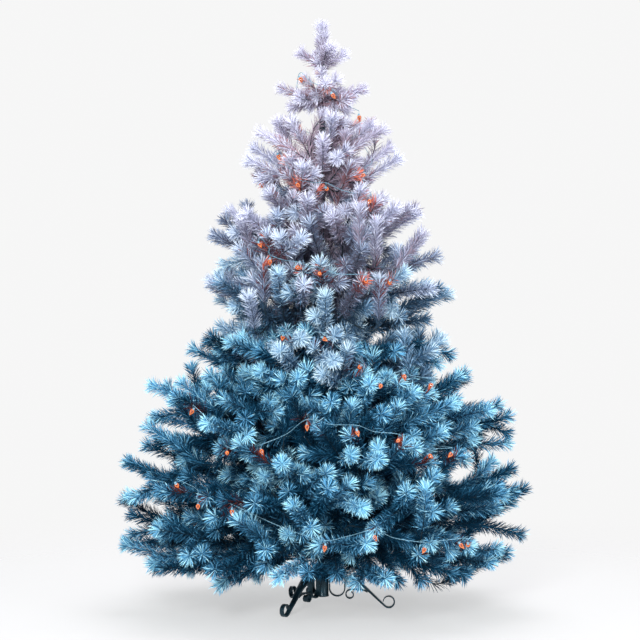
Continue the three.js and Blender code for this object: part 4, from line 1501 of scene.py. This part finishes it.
# %% [markdown]
# ## Lamps and their wire
# A lamp is a flame-shaped bulb, 16 mm across and about 22 mm long, in a pale holder, and it hangs
# from the wire by a short tail. Bulb and holder are spun from profiles of radius and height,
# which is nought at the bulb's neck. They have few sides, because there are dozens of lamps.

# %% Lamp pieces
BULB = [(0, -21), (1.2, -20), (3.0, -17), (5.6, -12.5), (7.6, -8), (8.0, -4.5), (6.6, -0.5),
        (4.2, 1.5), (0, 1.5)]
HOLDER = [(0, -0.6), (4.3, -0.6), (4.7, 0.6), (4.7, 2.2), (3.8, 3.2), (3.8, 6), (2.6, 8),
          (1.2, 9), (0, 9)]
LAMP_SIDES = 12
LAMP_SEED = SEED + 7
LAMP_LEAN = {"most": 75, "up": 0.05}  # degrees out of plumb, and what keeps its axis from vanishing


def lamp_tilts(count):
    """A lean for each lamp about its neck, so that none hangs quite plumb and no two are alike."""
    roll = dice(LAMP_SEED)
    tilts = []
    for _ in range(count):
        axis = Vector((roll() - 0.5, roll() - 0.5, LAMP_LEAN["up"])).normalized()
        tilts.append(Matrix.Rotation(mix(0, LAMP_LEAN["most"], roll()) * DEG, 4, axis))
    return tilts


def lamp_mesh(name, profile, material):
    """All lamps' bulbs, or all their holders: one spun shape, laid at each lamp's place."""
    one = spun(name + "_one", profile, material, steps=LAMP_SIDES).data
    bm = bmesh.new()
    for place, tilt in zip(lamps, lamp_tilts(len(lamps))):
        before = len(bm.verts)
        bm.from_mesh(one)
        bm.verts.ensure_lookup_table()
        bmesh.ops.transform(bm, matrix=Matrix.Translation(place) @ tilt, verts=bm.verts[before:])
    mesh = bpy.data.meshes.new(name)
    bm.to_mesh(mesh)
    bm.free()
    bpy.data.meshes.remove(one)
    mesh.materials.append(material)
    return bpy.data.objects.new(name, mesh)


def lamp_glass():
    """Lit amber glass: a dark heart in a bright orange ring, painted by facing where thick glass would bend
    the light.
    """
    paint = Paint("amber_glass", (0.20, 0.03, 0.012), roughness=0.08, coat=1.0)
    # The ring is painted refraction: the emission colour of the lamp's own light follows how squarely the
    # glass faces the eye.
    edge = paint.node("ShaderNodeLayerWeight", {}, {"Blend": 0.5}, "Facing")
    ring = [(0.0, (0.09, 0.010, 0.005)), (0.13, (0.25, 0.030, 0.010)), (0.25, (1.0, 0.46, 0.14)),
            (0.39, (0.85, 0.16, 0.035)), (0.57, (0.06, 0.006, 0.004))]
    paint.set("Emission Color", paint.ramp(edge, ring))
    paint.set("Emission Strength", 1.0)
    return paint.material


def lead_paint():
    """Pale sleeved wire and holders, a little dusty."""
    paint = Paint("pale_sleeve", (0.22, 0.36, 0.42), roughness=0.42, coat=0.2)
    dust = paint.noise(scale=60, detail=3)
    paint.set("Base Color", paint.ramp(dust, [(0.3, (0.12, 0.29, 0.39)), (0.75, (0.26, 0.47, 0.60))]))
    paint.set("Roughness", 0.32 + dust * 0.3)
    return paint.material


LEAD = lead_paint()
show(lamp_mesh("lamp_bulbs", BULB, lamp_glass()), "lamp_glass")
show(lamp_mesh("lamp_holders", HOLDER, LEAD), "lamp_lead")

# %% [markdown]
# ## The lamps' wire
# Between two lamps the wire lies among the brushes and sags a little. Its line runs through the
# top of every lamp's tail, with lower points further in on the way, and is smoothed by a spline.
# The wire is two fine cores laid round each other: curves with a round bevel, made into a mesh.

# %% Wire
TAIL = 9  # from the wire down to the top of the holder
CORE = {"radius": 0.65, "apart": 0.7, "pitch": 22, "step": 5.5}
WAY = {"step": 160, "sag": 0.05, "inward": 0.93, "long": 380, "within": 0.62}  # the wire between lamps
UPRIGHT = 0.95  # a wire nearer to upright than this takes its side from another axis


def tail_top(lamp):
    """Where a lamp's tail meets the wire."""
    return lamp / MM + Vector((0, 0, HOLDER[-1][1] + TAIL))


def wire_knots():
    """Knots of the wire: above every lamp, and on the way between two, lower and further in."""
    tops = [tail_top(lamp) for lamp in lamps]
    knots = []
    for a, b in zip(tops, tops[1:]):
        knots.append(a)
        count = max(1, round((b - a).length / WAY["step"]))
        start = math.atan2(a.y, a.x)
        sweep_by = (math.atan2(b.y, b.x) - start + math.pi) % (2 * math.pi) - math.pi
        for i in range(1, count + 1):
            share = i / (count + 1)
            z = mix(a.z, b.z, share) - WAY["sag"] * (b - a).length * 4 * share * (1 - share)
            r = mix(math.hypot(a.x, a.y), math.hypot(b.x, b.y), share) * WAY["inward"]
            if (b - a).length > WAY["long"] or z > NECK:
                r = min(r, WAY["within"] * float(crown_radius(z)))
            knots.append(Vector(polar(r, start + sweep_by * share, z)))
    return knots + [tops[-1]]


def through(knots, step):
    """A smooth line through knots, with points about so far apart."""
    ends = [knots[0] * 2 - knots[1], *knots, knots[-1] * 2 - knots[-2]]
    points = []
    for a, b, c, d in zip(ends, ends[1:], ends[2:], ends[3:]):
        count = max(2, round((c - b).length / step))
        for i in range(count):
            t = i / count
            points.append(0.5 * (2 * b + (c - a) * t + (2 * a - 5 * b + 4 * c - d) * t**2
                                 + (3 * b - a - 3 * c + d) * t**3))
    return points + [knots[-1]]


def strand_curve(name, lines, radius):
    """Round strands along lines of points in millimetres, as one mesh."""
    curve = bpy.data.curves.new(name, "CURVE")
    curve.dimensions = "3D"
    curve.bevel_depth = radius * MM
    curve.bevel_resolution = 1
    curve.use_fill_caps = True
    for line in lines:
        spline = curve.splines.new("POLY")
        spline.points.add(len(line) - 1)
        for point, spot in zip(spline.points, line):
            point.co = (*(spot * MM), 1)
    holder = bpy.data.objects.new(name, curve)
    bpy.context.scene.collection.objects.link(holder)
    mesh = bpy.data.meshes.new_from_object(holder.evaluated_get(bpy.context.evaluated_depsgraph_get()))
    bpy.data.objects.remove(holder)
    mesh.name = name
    mesh.materials.clear()
    mesh.materials.append(LEAD)
    return bpy.data.objects.new(name, mesh)


def laid_round(line, phase):
    """One core of a pair laid round each other along a line."""
    strand, run = [], 0.0
    for i, spot in enumerate(line):
        along = (line[min(i + 1, len(line) - 1)] - line[max(i - 1, 0)]).normalized()
        level = along.cross(Vector((0, 0, 1))).normalized()
        side = along.orthogonal() if abs(along.z) > UPRIGHT else level
        over = along.cross(side)
        angle = 2 * math.pi * run / CORE["pitch"] + phase
        strand.append(spot + (side * math.cos(angle) + over * math.sin(angle)) * CORE["apart"])
        run += CORE["step"]
    return strand


wire_line = through(wire_knots(), CORE["step"])
tails = [[lamp / MM, tail_top(lamp)] for lamp in lamps]
strands = [laid_round(wire_line, 0), laid_round(wire_line, math.pi), *tails]
show(strand_curve("lamp_wire", strands, CORE["radius"]), "lamp_lead")
print("wire:", round(sum((b - a).length for a, b in zip(wire_line, wire_line[1:])) * MM, 2), "m")

# %% [markdown]
# ## Stage and light
# The photograph shows the tree on white with no floor line. A pale round floor fades out into a
# background of the same white. A broad lamp near the camera lights the tips that face it, a
# second fills from the right, a soft one above keeps the top bright, and a weak one behind keeps
# the back readable.

# %% Stage
FLOOR_RADIUS, FLOOR_SIDES = 3.4, 96
FLOOR_FADE = (0.9, FLOOR_RADIUS - 0.2)  # where the floor starts to fade out, and where it is gone
FLOOR_SHARE = 0.48  # how much of the floor shows over the background of the same white


def floor_paint():
    """Matt white that fades out towards its rim."""
    paint = Paint("pale_floor", (0.74, 0.74, 0.74), roughness=0.9)
    away = paint.node("ShaderNodeVectorMath", {"operation": "LENGTH"}, {0: paint.place()}, "Value")
    fade = paint.node("ShaderNodeMapRange", {"interpolation_type": "SMOOTHSTEP"}, {
        "Value": away, "From Min": FLOOR_FADE[0], "From Max": FLOOR_FADE[1],
        "To Min": FLOOR_SHARE, "To Max": 0.0,
    })
    paint.set("Alpha", fade)
    return paint.material


bm = bmesh.new()
bmesh.ops.create_circle(bm, cap_ends=True, segments=FLOOR_SIDES, radius=FLOOR_RADIUS / MM)
floor = finish_mesh(bm, "floor", floor_paint())
bpy.context.scene.collection.objects.link(floor)

# %% Light
BACKDROP = 0.925  # brightness of the white behind the tree
AMBIENT = 0.56  # brightness of the soft light that this white gives
AIM = Vector((0, 0, 1.0))
LIGHTS = [  # name, place, size, power, colour
    ("key", (-0.9, -5.6, 2.4), 1.6, 340, (0.95, 0.98, 1.0)),
    ("fill", (3.4, -3.6, 1.6), 2.2, 80, (0.95, 0.96, 1.0)),
    ("top", (0.3, 0.6, 4.6), 2.4, 110, (0.97, 0.94, 1.0)),
    ("back", (-1.0, 4.8, 2.6), 2.4, 60, (0.95, 0.96, 1.0)),
]
world = bpy.data.worlds.new("studio")
world.use_nodes = True
nodes, links = world.node_tree.nodes, world.node_tree.links
background = nodes["Background"]
background.inputs["Color"].default_value = (1, 1, 1, 1)
path = nodes.new("ShaderNodeLightPath")
strength = nodes.new("ShaderNodeMapRange")
strength.inputs["To Min"].default_value = AMBIENT
strength.inputs["To Max"].default_value = BACKDROP
links.new(path.outputs["Is Camera Ray"], strength.inputs["Value"])
links.new(strength.outputs["Result"], background.inputs["Strength"])
bpy.context.scene.world = world
for name, spot, size, power, color in LIGHTS:
    data = bpy.data.lights.new(name, "AREA")
    data.shape, data.size, data.energy, data.color = "DISK", size, power, color
    light = bpy.data.objects.new(name, data)
    light.location = spot
    light.rotation_euler = (AIM - Vector(spot)).to_track_quat("-Z", "Y").to_euler()
    bpy.context.scene.collection.objects.link(light)
bpy.context.scene.view_settings.view_transform = "Standard"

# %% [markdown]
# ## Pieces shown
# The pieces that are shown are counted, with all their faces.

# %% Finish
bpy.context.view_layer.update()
shown = [o for o in bpy.context.scene.objects if o.type == "MESH" and not o.hide_render]
print("pieces shown:", len(shown), "faces:", sum(len(o.data.polygons) for o in shown))
